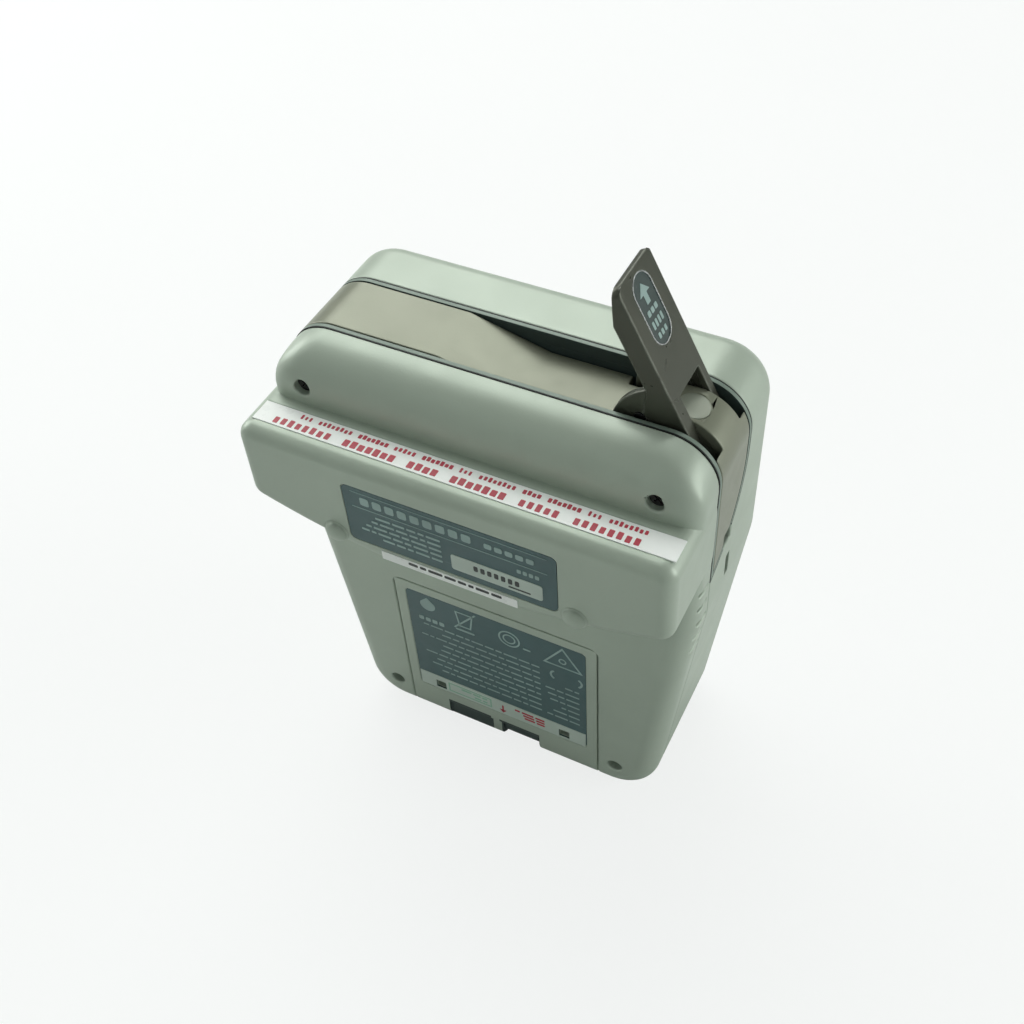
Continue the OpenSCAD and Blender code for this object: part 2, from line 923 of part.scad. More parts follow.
module battery_tray() {
    color([0.16, 0.16, 0.17])
    difference() {
        block([-28.2, -16.4, wall], [28.2, 11.4, 61]);
        block([-27, -15, 3.8], [27, 12, 59.6]);
        block([-30, 9, 0], [30, 12, 5]);
        for (x = [-13.6, 13.6])
            translate([x, cell_y, wall - 1])
                cylinder(r = 4, h = 3);
    }
}

module cell() {
    cylinder(r = cell_d / 2, h = cell_l - 1.6);
    cylinder(r = 3.2, h = cell_l);
}

module battery_cells() {
    color([0.70, 0.52, 0.20]) {
        translate([-13.6, cell_y, cell_z])
            cell();
        translate([13.6, cell_y, cell_z + cell_l])
            rotate([180, 0, 0])
                cell();
    }
}

module battery_contacts() {
    color([0.78, 0.79, 0.80])
    for (x = [-13.6, 13.6]) {
        translate([x, cell_y, 3.8])
            cylinder(r = 8, h = 0.4);
        translate([x, cell_y, 4.2])
            cylinder(r1 = 6, r2 = 3, h = 2);
        translate([x, cell_y, cell_z + cell_l])
            cylinder(r1 = 3, r2 = 6, h = 3);
        translate([x, cell_y, cell_z + cell_l + 3])
            cylinder(r = 8, h = 0.4);
    }
}

module battery_door() {
    color([0.68, 0.70, 0.65])
    difference() {
        union() {
            intersection() {
                difference() {
                    rear_low_form(0);
                    rear_low_form(wall - 0.2);
                }
                block([-door_half, 10, -1], [door_half, back_y + 1, door_top]);
            }
            for (s = [-1, 1]) {
                block([s > 0 ? 28.4 : -29.4, 11.8, 9], [s > 0 ? 29.4 : -28.4, 13.5, 56]);
                block([s > 0 ? 28.4 : -30.6, 11.8, 9], [s > 0 ? 30.6 : -28.4, 12.8, 56]);
            }
        }
        along_y(back_y - 0.5, back_y + 1)
            soft_rect([-26.5, 14.2], [26.5, 58.4], [1.5, 1.5, 1.5, 1.5]);
        for (x = [-19.6, 19.6])
            block([x - 1.6, 12, 15.2], [x + 1.6, back_y + 1, 18.4]);
        block([-11.4, back_y - 1.1, -1], [17.6, back_y + 1, 9.4]);
        block([-11, 9, -1], [0.6, back_y + 1, 9]);
    }
}

// Side view of the case's lower rear corner, t inside its surface.
module rear_corner(t) {
    soft_rect([seam_y - 6, t], [back_y - t, 30], [0, 6 - t, 0, 0]);
}

module battery_latch() {
    color([0.60, 0.62, 0.58]) {
        along_x(-10.6, 0.2)
            intersection() {
                difference() {
                    rear_corner(1.3);
                    rear_corner(2.6);
                }
                translate([10.8, 0])
                    square([10, 8.6]);
            }
        block([-8, 11.9, 8], [-2.4, 12.7, 12]);
        block([-8, 11.9, 7.8], [-2.4, 14, 8.5]);
    }
}

module door_label() {
    color([0.22, 0.29, 0.30])
    difference() {
        along_y(back_y - 0.5, back_y - 0.15)
            soft_rect([-26.4, 14.3], [26.4, 58.3], [1.4, 1.4, 1.4, 1.4]);
        for (x = [-19.6, 19.6])
            block([x - 1.6, 14, 15.2], [x + 1.6, back_y + 1, 18.4]);
    }
}

// ---- labels and small hardware ----

module data_label() {
    color([0.22, 0.29, 0.30])
    along_y(hump_y - 0.45, hump_y - 0.05)
        soft_rect([-27.2, 95.2], [27.2, 113.8], [1.6, 1.6, 1.6, 1.6]);
}

module serial_tag() {
    color([0.92, 0.93, 0.90])
    block([-17, hump_y, 91.4], [19, hump_y + 0.2, 94.2]);
}

module top_strip() {
    color([0.93, 0.94, 0.92])
    block([-52.6, 20.6, ledge_z - 0.3], [52.6, 26.8, ledge_z + 0.05]);
}

module rear_bumps() {
    color([0.62, 0.65, 0.60])
    for (s = [-1, 1]) {
        bar_y([s * 31.3, 95.5], hump_y - 1.2, hump_y + 0.1, 1.4);
        intersection() {
            translate([s * 31.3, hump_y - 2.6, 95.5])
                sphere(r = 3.6);
            block([s * 31.3 - 4, hump_y, 91], [s * 31.3 + 4, hump_y + 2, 100]);
        }
    }
}

module case_screws() {
    color([0.35, 0.35, 0.36])
    for (s = [-1, 1]) {
        case_screw([s * low_screws[0], low_screws[1]], 11.5, 13);
        case_screw([s * top_screws[0], top_screws[1]], 14.6, 8.5);
    }
}

// Pan head on a plain shank, with a cross recess; y is the seat under the head.
module case_screw(at, y, l) {
    difference() {
        union() {
            bar_y(at, y, y + 1.5, 1.9);
            bar_y(at, y - l, y, 1.2);
        }
        for (a = [45, 135])
            translate([at[0], y + 1.1, at[1]])
                rotate([0, a, 0])
                    block([-1.2, -0.2, -0.2], [1.2, 1, 0.2]);
    }
}

front_shell();
rear_shell();
front_trim();
rear_trim();
case_seals();
mid_frame();
pump_door();
platen();
platen_springs();
hinge_pins();
door_plug();
latch_lever();
lever_inlay();
lever_pin();
cam_rivets();
keeper_bar();
rotor();
roller_1();
roller_2();
roller_3();
roller_4();
roller_pins();
rotor_shaft();
drive_gear();
shaft_bushings();
gear_plate();
motor();
motor_pinion();
main_board();
board_parts();
keypad_board();
key_mat();
display_module();
display_window();
indicator_lamps();
key_1();
key_2();
key_3();
key_4();
key_5();
key_6();
key_7();
key_8();
key_9();
sounder();
battery_tray();
battery_cells();
battery_contacts();
battery_door();
door_label();
battery_latch();
data_label();
serial_tag();
top_strip();
rear_bumps();
case_screws();
power_jack();
data_socket();
tube_sensors();
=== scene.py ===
import math

import bmesh
import bpy
from mathutils import Matrix, Vector


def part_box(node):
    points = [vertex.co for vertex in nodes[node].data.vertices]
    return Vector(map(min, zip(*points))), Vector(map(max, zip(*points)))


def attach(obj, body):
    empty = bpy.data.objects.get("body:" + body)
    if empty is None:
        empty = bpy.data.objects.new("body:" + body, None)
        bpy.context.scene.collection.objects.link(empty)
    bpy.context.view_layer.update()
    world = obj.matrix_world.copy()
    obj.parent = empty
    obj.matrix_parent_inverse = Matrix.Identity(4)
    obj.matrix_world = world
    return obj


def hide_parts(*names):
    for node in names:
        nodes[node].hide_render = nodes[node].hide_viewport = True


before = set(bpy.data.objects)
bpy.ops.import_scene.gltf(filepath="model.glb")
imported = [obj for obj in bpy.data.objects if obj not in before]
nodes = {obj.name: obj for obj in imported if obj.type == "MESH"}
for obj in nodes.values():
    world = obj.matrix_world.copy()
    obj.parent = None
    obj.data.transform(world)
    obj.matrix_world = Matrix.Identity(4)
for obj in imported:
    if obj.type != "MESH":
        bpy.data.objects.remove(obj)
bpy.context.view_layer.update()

MM = 0.001                                   # metres in a millimetre


# ---------------------------------------------------------------- materials

# Linear RGB.
SHELL = (0.432, 0.498, 0.420)
TRIM = (0.20, 0.255, 0.215)
BAND = (0.240, 0.252, 0.190)
SLATE = (0.048, 0.108, 0.115)
# the frame's colour, and the painted shade on the trim's inner walls
FRAME_COLOR_AND_WALL_SHADE = (0.040, 0.060, 0.058)
# the latch's colour, and the painted shade in the battery door's bays
LATCH_COLOR_AND_BAY_SHADE = (0.050, 0.073, 0.068)


class Graph:
    """Builds one material's node tree."""

    def __init__(self, name):
        self.material = bpy.data.materials.new(name)
        self.material.use_nodes = True
        self.tree = self.material.node_tree
        self.tree.nodes.clear()
        self.output = self.tree.nodes.new("ShaderNodeOutputMaterial")
        self.position = self.add("ShaderNodeTexCoord").outputs["Object"]

    def put(self, node, key, value):
        if isinstance(value, bpy.types.NodeSocket):
            self.tree.links.new(value, node.inputs[key])
        else:
            node.inputs[key].default_value = value

    def add(self, kind, values=None, **settings):
        node = self.tree.nodes.new(kind)
        for key, value in settings.items():
            setattr(node, key, value)
        for key, value in (values or {}).items():
            self.put(node, key, value)
        return node

    def math(self, operation, a, b=0.0, clamp=False):
        return self.add("ShaderNodeMath", {0: a, 1: b}, operation=operation,
                        use_clamp=clamp).outputs[0]

    def remap(self, value, low, high, out_low=0.0, out_high=1.0):
        values = {"Value": value, "From Min": low, "From Max": high,
                  "To Min": out_low, "To Max": out_high}
        return self.add("ShaderNodeMapRange", values).outputs["Result"]

    def mix(self, factor, a, b):
        node = self.add("ShaderNodeMix", data_type="RGBA")
        for key, value in ((0, factor), (6, a), (7, b)):
            self.put(node, key, value)
        return node.outputs[2]

    def noise(self, size_mm, detail=2.0, roughness=0.5, stretch=None, distortion=0.0):
        vector = self.position
        if stretch:
            vector = self.add("ShaderNodeMapping", {"Vector": vector, "Scale": stretch}
                              ).outputs["Vector"]
        values = {"Vector": vector, "Scale": 1000.0 / size_mm, "Detail": detail,
                  "Roughness": roughness, "Distortion": distortion}
        return self.add("ShaderNodeTexNoise", values).outputs["Fac"]

    def cells(self, size_mm):
        values = {"Vector": self.position, "Scale": 1000.0 / size_mm}
        return self.add("ShaderNodeTexVoronoi", values).outputs["Distance"]

    def rounded(self, radius_mm):
        return self.add("ShaderNodeBevel", {"Radius": radius_mm * MM}, samples=4).outputs[0]

    def facing(self, axis):
        normal = self.add("ShaderNodeNewGeometry").outputs["Normal"]
        return self.add("ShaderNodeSeparateXYZ", {0: normal}).outputs[axis]

    def bump(self, height, depth_mm, normal=None):
        values = {"Height": height, "Distance": depth_mm * MM, "Strength": 1.0}
        if normal is not None:
            values["Normal"] = normal
        return self.add("ShaderNodeBump", values).outputs["Normal"]

    def edge_mask(self, rounded, gain=9.0):
        """1 along outside edges and 0 on open surfaces."""
        normal = self.add("ShaderNodeNewGeometry").outputs["Normal"]
        dot = self.add("ShaderNodeVectorMath", {0: rounded, 1: normal},
                       operation="DOT_PRODUCT").outputs["Value"]
        return self.math("MULTIPLY", self.math("SUBTRACT", 1.0, dot), gain, clamp=True)

    def surface(self, **inputs):
        shader = self.add("ShaderNodeBsdfPrincipled",
                          {key.replace("_", " "): value for key, value in inputs.items()})
        self.tree.links.new(shader.outputs[0], self.output.inputs[0])
        return self.material


def scaled(color, k):
    """The colour k times as bright, with its alpha."""
    return (*[min(1.0, c * k) for c in color], 1.0)


def moulded(name, color, rough=0.42, metallic=0.0, grain_mm=0.45, depth_mm=0.01, vary=0.05,
            wear=0.25, coat=0.0, worn_color=None, edge_mm=0.35, wall=None, shaded_bays=()):
    """Satin moulded plastic: fine eroded grain, uneven tone, handling marks, paler edges.
    wall is painted shade: the colour given to faces turned along Y, so that the inner sides
    of rings look shaded.
    The last argument lists (x_low, x_high, z_high) areas in mm painted dark slate: painted
    shade of recessed bays, reaching a little above the recesses."""
    g = Graph(name)
    tone = g.noise(38, 3, 0.55)
    smudge = g.noise(9, 4, 0.6, distortion=0.6)
    rounded = g.rounded(edge_mm)
    shade = g.mix(g.remap(tone, 0.3, 0.7), scaled(color, 1 - vary), scaled(color, 1 + vary))
    shade = g.mix(g.remap(g.noise(0.9, 2, 0.7), 0.62, 0.75, 0.0, 0.10), shade,
                  scaled(color, 0.72))
    worn = g.math("MULTIPLY", g.edge_mask(rounded), g.remap(smudge, 0.35, 0.7, 0.2, 1.0))
    shade = g.mix(g.math("MULTIPLY", worn, wear), shade,
                  scaled(worn_color, 1) if worn_color else scaled(color, 1.35))
    # painted shade: faces turned along Y take the wall colour, standing in for the shade
    # inside the ring
    if wall:
        side = g.math("ABSOLUTE", g.facing("Y"))
        shade = g.mix(g.remap(side, 0.55, 0.75), shade, scaled(wall, 1))
    place = g.add("ShaderNodeSeparateXYZ", {0: g.position})
    # painted shade: inside each bay area the colour turns to the dark bay colour, for the
    # shade in the recessed bays
    for x_low, x_high, z_high in shaded_bays:
        inside = g.math("MULTIPLY", g.math("GREATER_THAN", place.outputs["X"], x_low * MM),
                        g.math("LESS_THAN", place.outputs["X"], x_high * MM))
        inside = g.math("MULTIPLY", inside,
                        g.math("LESS_THAN", place.outputs["Z"], z_high * MM))
        shade = g.mix(inside, shade, scaled(LATCH_COLOR_AND_BAY_SHADE, 1))
    roughness = g.math("SUBTRACT", g.remap(smudge, 0.3, 0.7, rough - 0.04, rough + 0.06),
                       g.math("MULTIPLY", worn, 0.08))
    height = g.math("ADD", g.noise(grain_mm, 2, 0.6),
                    g.math("MULTIPLY", g.cells(grain_mm * 1.7), 0.6))
    return g.surface(Base_Color=shade, Roughness=roughness, Metallic=metallic,
                     Coat_Weight=coat, Coat_Roughness=0.3,
                     Normal=g.bump(height, depth_mm, rounded))


def metal(name, color, rough=0.28, stretch=(1.0, 0.05, 1.0)):
    """Ground or plated metal with fine tool lines along one direction."""
    g = Graph(name)
    lines = g.noise(0.5, 3, 0.6, stretch)
    shade = g.mix(g.remap(g.noise(6, 3, 0.6), 0.3, 0.7), scaled(color, 0.88),
                  scaled(color, 1.06))
    roughness = g.remap(lines, 0.3, 0.7, rough - 0.06, rough + 0.1)
    return g.surface(Base_Color=shade, Roughness=roughness, Metallic=1.0,
                     Normal=g.bump(lines, 0.004, g.rounded(0.15)))


def film(name, color, rough=0.3, vary=0.05, scratch=0.06):
    """Printed polyester film: even tone, hairline scratches and thumb marks."""
    g = Graph(name)
    marks = g.noise(1.6, 4, 0.7, (0.25, 1.0, 1.6), 1.2)
    shade = g.mix(g.remap(g.noise(16, 3, 0.5), 0.3, 0.7), scaled(color, 1 - vary),
                  scaled(color, 1 + vary))
    shade = g.mix(g.remap(marks, 0.66, 0.72, 0.0, scratch), shade, (0.85, 0.88, 0.86, 1.0))
    roughness = g.remap(g.noise(5, 4, 0.65), 0.3, 0.7, rough - 0.06, rough + 0.12)
    return g.surface(Base_Color=shade, Roughness=roughness, Coat_Weight=0.25,
                     Coat_Roughness=0.2, Normal=g.bump(g.noise(1.1, 3, 0.5), 0.005))


def rubber(name, color):
    """Matt rubber with a faint bloom."""
    g = Graph(name)
    shade = g.mix(g.remap(g.noise(5, 4, 0.6), 0.3, 0.7), scaled(color, 0.8),
                  scaled(color, 1.5))
    return g.surface(Base_Color=shade, Roughness=0.62, Normal=g.bump(g.noise(0.3), 0.01))


def laminate(name, color):
    """Circuit board: solder mask over faint copper tracks."""
    g = Graph(name)
    tracks = g.add("ShaderNodeTexBrick", {"Vector": g.position, "Scale": 330.0,
                                          "Mortar Size": 0.09}).outputs["Fac"]
    shade = g.mix(g.math("MULTIPLY", tracks, 0.35), scaled(color, 1), (0.2, 0.48, 0.22, 1.0))
    return g.surface(Base_Color=shade, Roughness=0.3, Coat_Weight=0.4,
                     Normal=g.bump(tracks, 0.03))


def clear(name, color, haze):
    """Clear plastic with a little haze."""
    g = Graph(name)
    roughness = g.remap(g.noise(7, 3, 0.6), 0.3, 0.7, haze * 0.4, haze)
    return g.surface(Base_Color=scaled(color, 1), Roughness=roughness,
                     Transmission_Weight=0.92, IOR=1.49)


def jacket(name, color):
    """Printed cell jacket: a copper band over a dark sleeve."""
    g = Graph(name)
    height = g.add("ShaderNodeSeparateXYZ", {0: g.position}).outputs["Z"]
    shade = g.mix(g.remap(height, 0.040, 0.0402), (0.03, 0.03, 0.035, 1.0), scaled(color, 1))
    return g.surface(Base_Color=shade, Roughness=g.remap(g.noise(3), 0.3, 0.7, 0.22, 0.36),
                     Metallic=0.55, Coat_Weight=0.5)


M = {
    "case_plastic": moulded("case_plastic", SHELL, 0.40, 0.2, coat=0.08),
    "door_cover": moulded("door_cover", SHELL, 0.40, 0.2, coat=0.08,
                          # painted shade in the two bays at the cover's lower edge
                          shaded_bays=((3.9, 17.8, 10.6), (-11.6, 1.2, 10.6))),
    # the trim's inner walls are given painted shade
    "trim_plastic": moulded("trim_plastic", TRIM, 0.42, 0.1, wall=FRAME_COLOR_AND_WALL_SHADE, edge_mm=0.2),
    "bump_plastic": moulded("bump_plastic", SHELL, 0.36, 0.1),
    "latch_plastic": moulded("latch_plastic", LATCH_COLOR_AND_BAY_SHADE, 0.5, edge_mm=0.2),
    "seal_rubber": rubber("seal_rubber", (0.006, 0.007, 0.007)),
    "frame_plastic": moulded("frame_plastic", FRAME_COLOR_AND_WALL_SHADE, 0.5, wear=0.1),
    "door_plastic": moulded("door_plastic", BAND, 0.34, 0.35, coat=0.12),
    "platen_plastic": moulded("platen_plastic", (0.72, 0.72, 0.69), 0.3, wear=0.1),
    "spring_steel": metal("spring_steel", (0.62, 0.63, 0.64), 0.2),
    "pin_steel": metal("pin_steel", (0.6, 0.61, 0.62), 0.25),
    "plug_plastic": moulded("plug_plastic", (0.29, 0.315, 0.255), 0.36, 0.25, coat=0.1),
    "lever_metal": moulded("lever_metal", (0.074, 0.078, 0.058), 0.30, 0.55, 0.35, 0.005,
                           coat=0.15, wear=0.9, worn_color=(0.50, 0.52, 0.46), edge_mm=0.45),
    "label_film": film("label_film", SLATE, 0.36),
    "dark_steel": metal("dark_steel", (0.06, 0.06, 0.06), 0.35),
    "rotor_plastic": moulded("rotor_plastic", (0.68, 0.68, 0.65), 0.3, wear=0.1),
    "gear_plastic": moulded("gear_plastic", (0.78, 0.76, 0.66), 0.4, wear=0.1),
    "bronze": metal("bronze", (0.56, 0.38, 0.16), 0.32),
    "plate_alu": metal("plate_alu", (0.55, 0.56, 0.57), 0.34, (0.04, 1.0, 1.0)),
    "motor_can": metal("motor_can", (0.42, 0.43, 0.44), 0.3),
    "board_laminate": laminate("board_laminate", (0.012, 0.11, 0.045)),
    "chip_plastic": moulded("chip_plastic", (0.02, 0.02, 0.022), 0.45, wear=0.1),
    "display_plastic": film("display_plastic", (0.33, 0.42, 0.28), 0.25, 0.03),
    "window_clear": clear("window_clear", (0.94, 0.98, 0.96), 0.04),
    "lamp_clear": clear("lamp_clear", (0.30, 0.85, 0.35), 0.3),
    "key_plastic": moulded("key_plastic", (0.66, 0.68, 0.62), 0.45, wear=0.15),
    "key_green": moulded("key_green", (0.10, 0.32, 0.15), 0.45, wear=0.15),
    "key_red": moulded("key_red", (0.50, 0.07, 0.05), 0.45, wear=0.15),
    "black_plastic": moulded("black_plastic", (0.018, 0.018, 0.02), 0.42, wear=0.3),
    "cell_can": jacket("cell_can", (0.62, 0.36, 0.12)),
    "inlay_film": film("inlay_film", (0.028, 0.050, 0.047), 0.34),
    "white_film": film("white_film", (0.93, 0.95, 0.93), 0.3, 0.02, 0.0),
    "pale_ink": film("pale_ink", (0.30, 0.42, 0.40), 0.4, 0.15, 0.0),
    "grey_film": film("grey_film", (0.50, 0.58, 0.52), 0.35, 0.05, 0.0),
    "red_ink": film("red_ink", (0.47, 0.03, 0.055), 0.5, 0.10, 0.0),
    "green_ink": film("green_ink", (0.25, 0.50, 0.36), 0.4, 0.08, 0.0),
    "dark_ink": film("dark_ink", (0.02, 0.025, 0.025), 0.4, 0.1, 0.0),
}


# ---------------------------------------------------------------- sizes, in mm
# X runs across the pump, +Y to its rear and Z up. A face is the Y of a flat side.

WALL = 2.4
SEAM = 6.0                                   # Y where the front and rear shells meet
LAP = 2                                      # a hollow runs this far past the seam
FRONT_FACE, FRONT_ROUND = -31, 6.5
REAR_FACE, REAR_ROUND = 15.5, 6
BODY_TOP = 108                               # the low rear body ends under the shoulder

HUMP_FACE, HUMP_ROUND = 31, 3.4
HUMP_MINUS_X, HUMP_PLUS_X, HUMP_TOP = 54.05, 55.6, 121
HUMP_SAG, HUMP_SAG_CENTER = 166, 254.5       # radius and height of the lower edge's arc
HUMP_LOW_CORNER, HUMP_HIGH_CORNER = 3.8, 4.2

SHOULDER_FACE, SHOULDER_ROUND, SHOULDER_END_ROUND = 17.8, 10.5, 5.0
SHOULDER_SIDE, SHOULDER_FOOT, SHOULDER_TOP, SHOULDER_CORNER = 53.97, 102, 135, 12.4

UPPER_SCREW_X, UPPER_SCREW_Z = 44, 125.5
LOWER_SCREW_X, LOWER_SCREW_Z = 35, 10.7
SCREW_HOLE = 2.1
GROOVES, GROOVE_PITCH, TOP_GROOVE_Z, GROOVE_HALF, GROOVE_DEPTH = 5, 5.5, 92.5, 0.6, 1.3
SIDE_X, WAIST_Z, WAIST_SLOPE = 54, 80, 0.117     # below the waist the sides lean inward
BUMP_X, BUMP_Z = 31.3, 95.5

KEY_COLUMNS, KEY_ROWS = (-22, 0, 22), (60, 44, 28)
KEY_HALF_WIDTH, KEY_HALF_HEIGHT = 8.25, 5.25
LAMP_COLUMNS, LAMP_Z = (-8, 0, 8), 78

LEVER_PIVOT, LEVER_RAISED = (-41.8, -4.0, 130.0), 63     # place, and degrees from level
LEVER_TOP = 4.85                                         # inlay above the pivot


# ---------------------------------------------------------------- outlines

def arc(center, radius, start, end, steps):
    """Points of an arc, angles in degrees, both ends included."""
    return [(center[0] + radius * math.cos(math.radians(start + (end - start) * k / steps)),
             center[1] + radius * math.sin(math.radians(start + (end - start) * k / steps)))
            for k in range(steps + 1)]


# (x, z, radius) of the circles that the case's outline runs round, anticlockwise.
CASE_CIRCLES = [(-33.5, 12.5, 12.5), (33.5, 12.5, 12.5), (29, 81.5, 25), (42, 123, 12),
                (-42, 123, 12), (-29, 81.5, 25)]
CORNER_STEP = 0.11                           # radians between points on those circles


def case_outline(inset):
    """Convex outline of the case in X and Z, inset mm inside its surface, anticlockwise."""
    normals = []
    for a, b in zip(CASE_CIRCLES, CASE_CIRCLES[1:] + CASE_CIRCLES[:1]):
        dx, dz, dr = b[0] - a[0], b[1] - a[1], a[2] - b[2]
        along = math.atan2(dz, dx)
        normals.append(along - math.acos(dr / math.hypot(dx, dz)))
    points = []
    for k, (x, z, r) in enumerate(CASE_CIRCLES):
        start, end = normals[k - 1], normals[k]
        while end < start:
            end += 2 * math.pi
        steps = max(2, round((end - start) / CORNER_STEP))
        points += arc((x, z), r - inset, math.degrees(start), math.degrees(end), steps)
    return points


def rounded_polygon(corners, steps=6):
    """Closed outline from (x, z, radius) corners, anticlockwise."""
    points = []
    for k, (x, z, r) in enumerate(corners):
        here = Vector((x, z))
        if r <= 0:
            points.append((x, z))
            continue
        before = (Vector(corners[k - 1][:2]) - here).normalized()
        after = (Vector(corners[(k + 1) % len(corners)][:2]) - here).normalized()
        half = before.angle(after) / 2
        center = here + (before + after).normalized() * (r / math.sin(half))
        a = here + before * (r / math.tan(half)) - center
        b = here + after * (r / math.tan(half)) - center
        start, end = math.atan2(a.y, a.x), math.atan2(b.y, b.x)
        while end < start:
            end += 2 * math.pi
        points += arc(center, r, math.degrees(start), math.degrees(end), steps)
    return points


def rect(x0, z0, x1, z1):
    return [(x0, z0), (x1, z0), (x1, z1), (x0, z1)]


def soft_rect(x0, z0, x1, z1, r, steps=5):
    return rounded_polygon([(x0, z0, r), (x1, z0, r), (x1, z1, r), (x0, z1, r)], steps)


def disc(x, z, r, steps=32):
    return arc((x, z), r, 0, 360 * (steps - 1) / steps, steps - 1)


def hump_outline(inset):
    """Motor hump: flat top, straight sides and a bottom edge that sags in a wide arc."""
    minus_x, plus_x = HUMP_MINUS_X - inset, HUMP_PLUS_X - inset
    sag, top, upper = HUMP_SAG - inset, HUMP_TOP - inset, HUMP_HIGH_CORNER - inset
    half = 12
    corners = []
    for k in range(-half, half + 1):
        x = k / half * (plus_x if k > 0 else minus_x)
        z = HUMP_SAG_CENTER - math.sqrt(sag ** 2 - x ** 2)
        corners.append((x, z, HUMP_LOW_CORNER - inset if abs(k) == half else 0))
    corners += [(plus_x, top, upper), (-minus_x, top, upper)]
    return rounded_polygon(corners)


def shoulder_form(name, wall, start):
    """The shoulder behind the door band: wide rounding on top, a tighter one at the ends."""
    rings = []
    flat, wide = SHOULDER_FACE - wall, SHOULDER_ROUND - wall
    tight = SHOULDER_END_ROUND - wall
    for y in [start] + [y for y, _ in fillet(flat, wide, 1, 18)]:
        over = max(0.0, y - (flat - wide))
        around = max(0.0, y - (flat - tight))
        drop = wall + wide - math.sqrt(max(0.0, wide ** 2 - over ** 2))
        tuck = wall + tight - math.sqrt(max(0.0, tight ** 2 - around ** 2))
        side, top = SHOULDER_SIDE - tuck, SHOULDER_TOP - drop
        r = SHOULDER_CORNER - max(drop, tuck)
        rings.append([(x, y, z) for x, z in rounded_polygon(
            [(-side, SHOULDER_FOOT, 1), (side, SHOULDER_FOOT, 1), (side, top, r),
             (-side, top, r)], 12)])
    return loft(name, rings)


def fillet(flat, radius, toward, steps=10):
    """(y, inset) stations of a rounded edge that ends on the flat face at y = flat.
    toward is 1 for a face turned to +Y and -1 for one turned to -Y."""
    return [(flat - toward * radius * (1 - math.sin(a)), radius * (1 - math.cos(a)))
            for a in [math.pi / 2 * k / steps for k in range(steps + 1)]]


# ---------------------------------------------------------------- solids

SHARP = math.radians(25)                     # edges turned more than this are shaded sharp
SQUARE = math.radians(30)                    # and more than this, rounded off


def new_object(name, builder):
    """Object of the builder's mesh, in the row frame."""
    bmesh.ops.recalc_face_normals(builder, faces=builder.faces)
    mesh = bpy.data.meshes.new(name)
    builder.to_mesh(mesh)
    builder.free()
    made = bpy.data.objects.new(name, mesh)
    bpy.context.scene.collection.objects.link(made)
    return made


def loft(name, rings):
    """Closed solid through equal rings of (x, y, z) in mm."""
    builder = bmesh.new()
    made = [[builder.verts.new((x * MM, y * MM, z * MM)) for x, y, z in ring]
            for ring in rings]
    for low, high in zip(made, made[1:]):
        for k in range(len(low)):
            n = (k + 1) % len(low)
            builder.faces.new((low[k], low[n], high[n], high[k]))
    builder.faces.new(made[0])
    builder.faces.new(made[-1])
    return new_object(name, builder)


def form(name, outline, stations):
    """Solid of an outline(inset) drawn through (y, inset) stations."""
    return loft(name, [[(x, y, z) for x, z in outline(inset)] for y, inset in stations])


def prisms(name, parts):
    """Cutters joined in one mesh; each part is (axis, outline, low, high)."""
    builder = bmesh.new()
    for axis, outline, low, high in parts:
        rings = []
        for level in (low, high):
            ring = []
            for a, b in outline:
                place = (a, level, b) if axis == "y" else (level, a, b)
                ring.append(builder.verts.new([v * MM for v in place]))
            rings.append(ring)
        for k in range(len(outline)):
            n = (k + 1) % len(outline)
            builder.faces.new((rings[0][k], rings[0][n], rings[1][n], rings[1][k]))
        builder.faces.new(rings[0])
        builder.faces.new(rings[1])
    return new_object(name, builder)


def combine(target, tool, operation="DIFFERENCE"):
    """Cuts the tool from the target or joins it on, and uses the tool up."""
    modifier = target.modifiers.new("combine", "BOOLEAN")
    modifier.operation = operation
    modifier.object = tool
    modifier.solver = "EXACT"
    depsgraph = bpy.context.evaluated_depsgraph_get()
    mesh = bpy.data.meshes.new_from_object(target.evaluated_get(depsgraph))
    target.modifiers.clear()
    target.data = mesh
    bpy.data.objects.remove(tool)


def room_beside(edge):
    """How far the narrower of the two faces reaches from the edge."""
    start = edge.verts[0].co
    along = (edge.verts[1].co - start).normalized()
    reach = []
    for face in edge.link_faces:
        away = [vert.co - start for vert in face.verts]
        reach.append(max((v - along * v.dot(along)).length for v in away))
    return min(reach)


def tidy(target, width_mm, plain=(0, 0)):
    """Merges stray points, marks the sharp edges, shades the rest smooth and gives the
    outside edges that have room for it the weight the edge modifier looks for. Edges of
    openings in the sides between the plain heights in mm stay sharp."""
    side_depth, side_reach = SEAM - 0.1, 46
    builder = bmesh.new()
    builder.from_mesh(target.data)
    bmesh.ops.remove_doubles(builder, verts=builder.verts, dist=0.004 * MM)
    bmesh.ops.dissolve_degenerate(builder, edges=builder.edges, dist=0.002 * MM)
    bmesh.ops.recalc_face_normals(builder, faces=builder.faces)
    weight = builder.edges.layers.float.new("bevel_weight_edge")
    for edge in builder.edges:
        if len(edge.link_faces) == 2 and edge.calc_length() > 0.01 * MM:
            turned = edge.calc_face_angle_signed(0) > SQUARE
            middle = (edge.verts[0].co + edge.verts[1].co) / 2
            in_side = (plain[0] * MM < middle.z < plain[1] * MM
                       and middle.y < side_depth * MM and abs(middle.x) > side_reach * MM)
            if turned and not in_side and room_beside(edge) > 1.6 * width_mm * MM:
                edge[weight] = 1.0
    builder.to_mesh(target.data)
    builder.free()
    target.data.shade_smooth()
    target.data.set_sharp_from_angle(angle=SHARP)


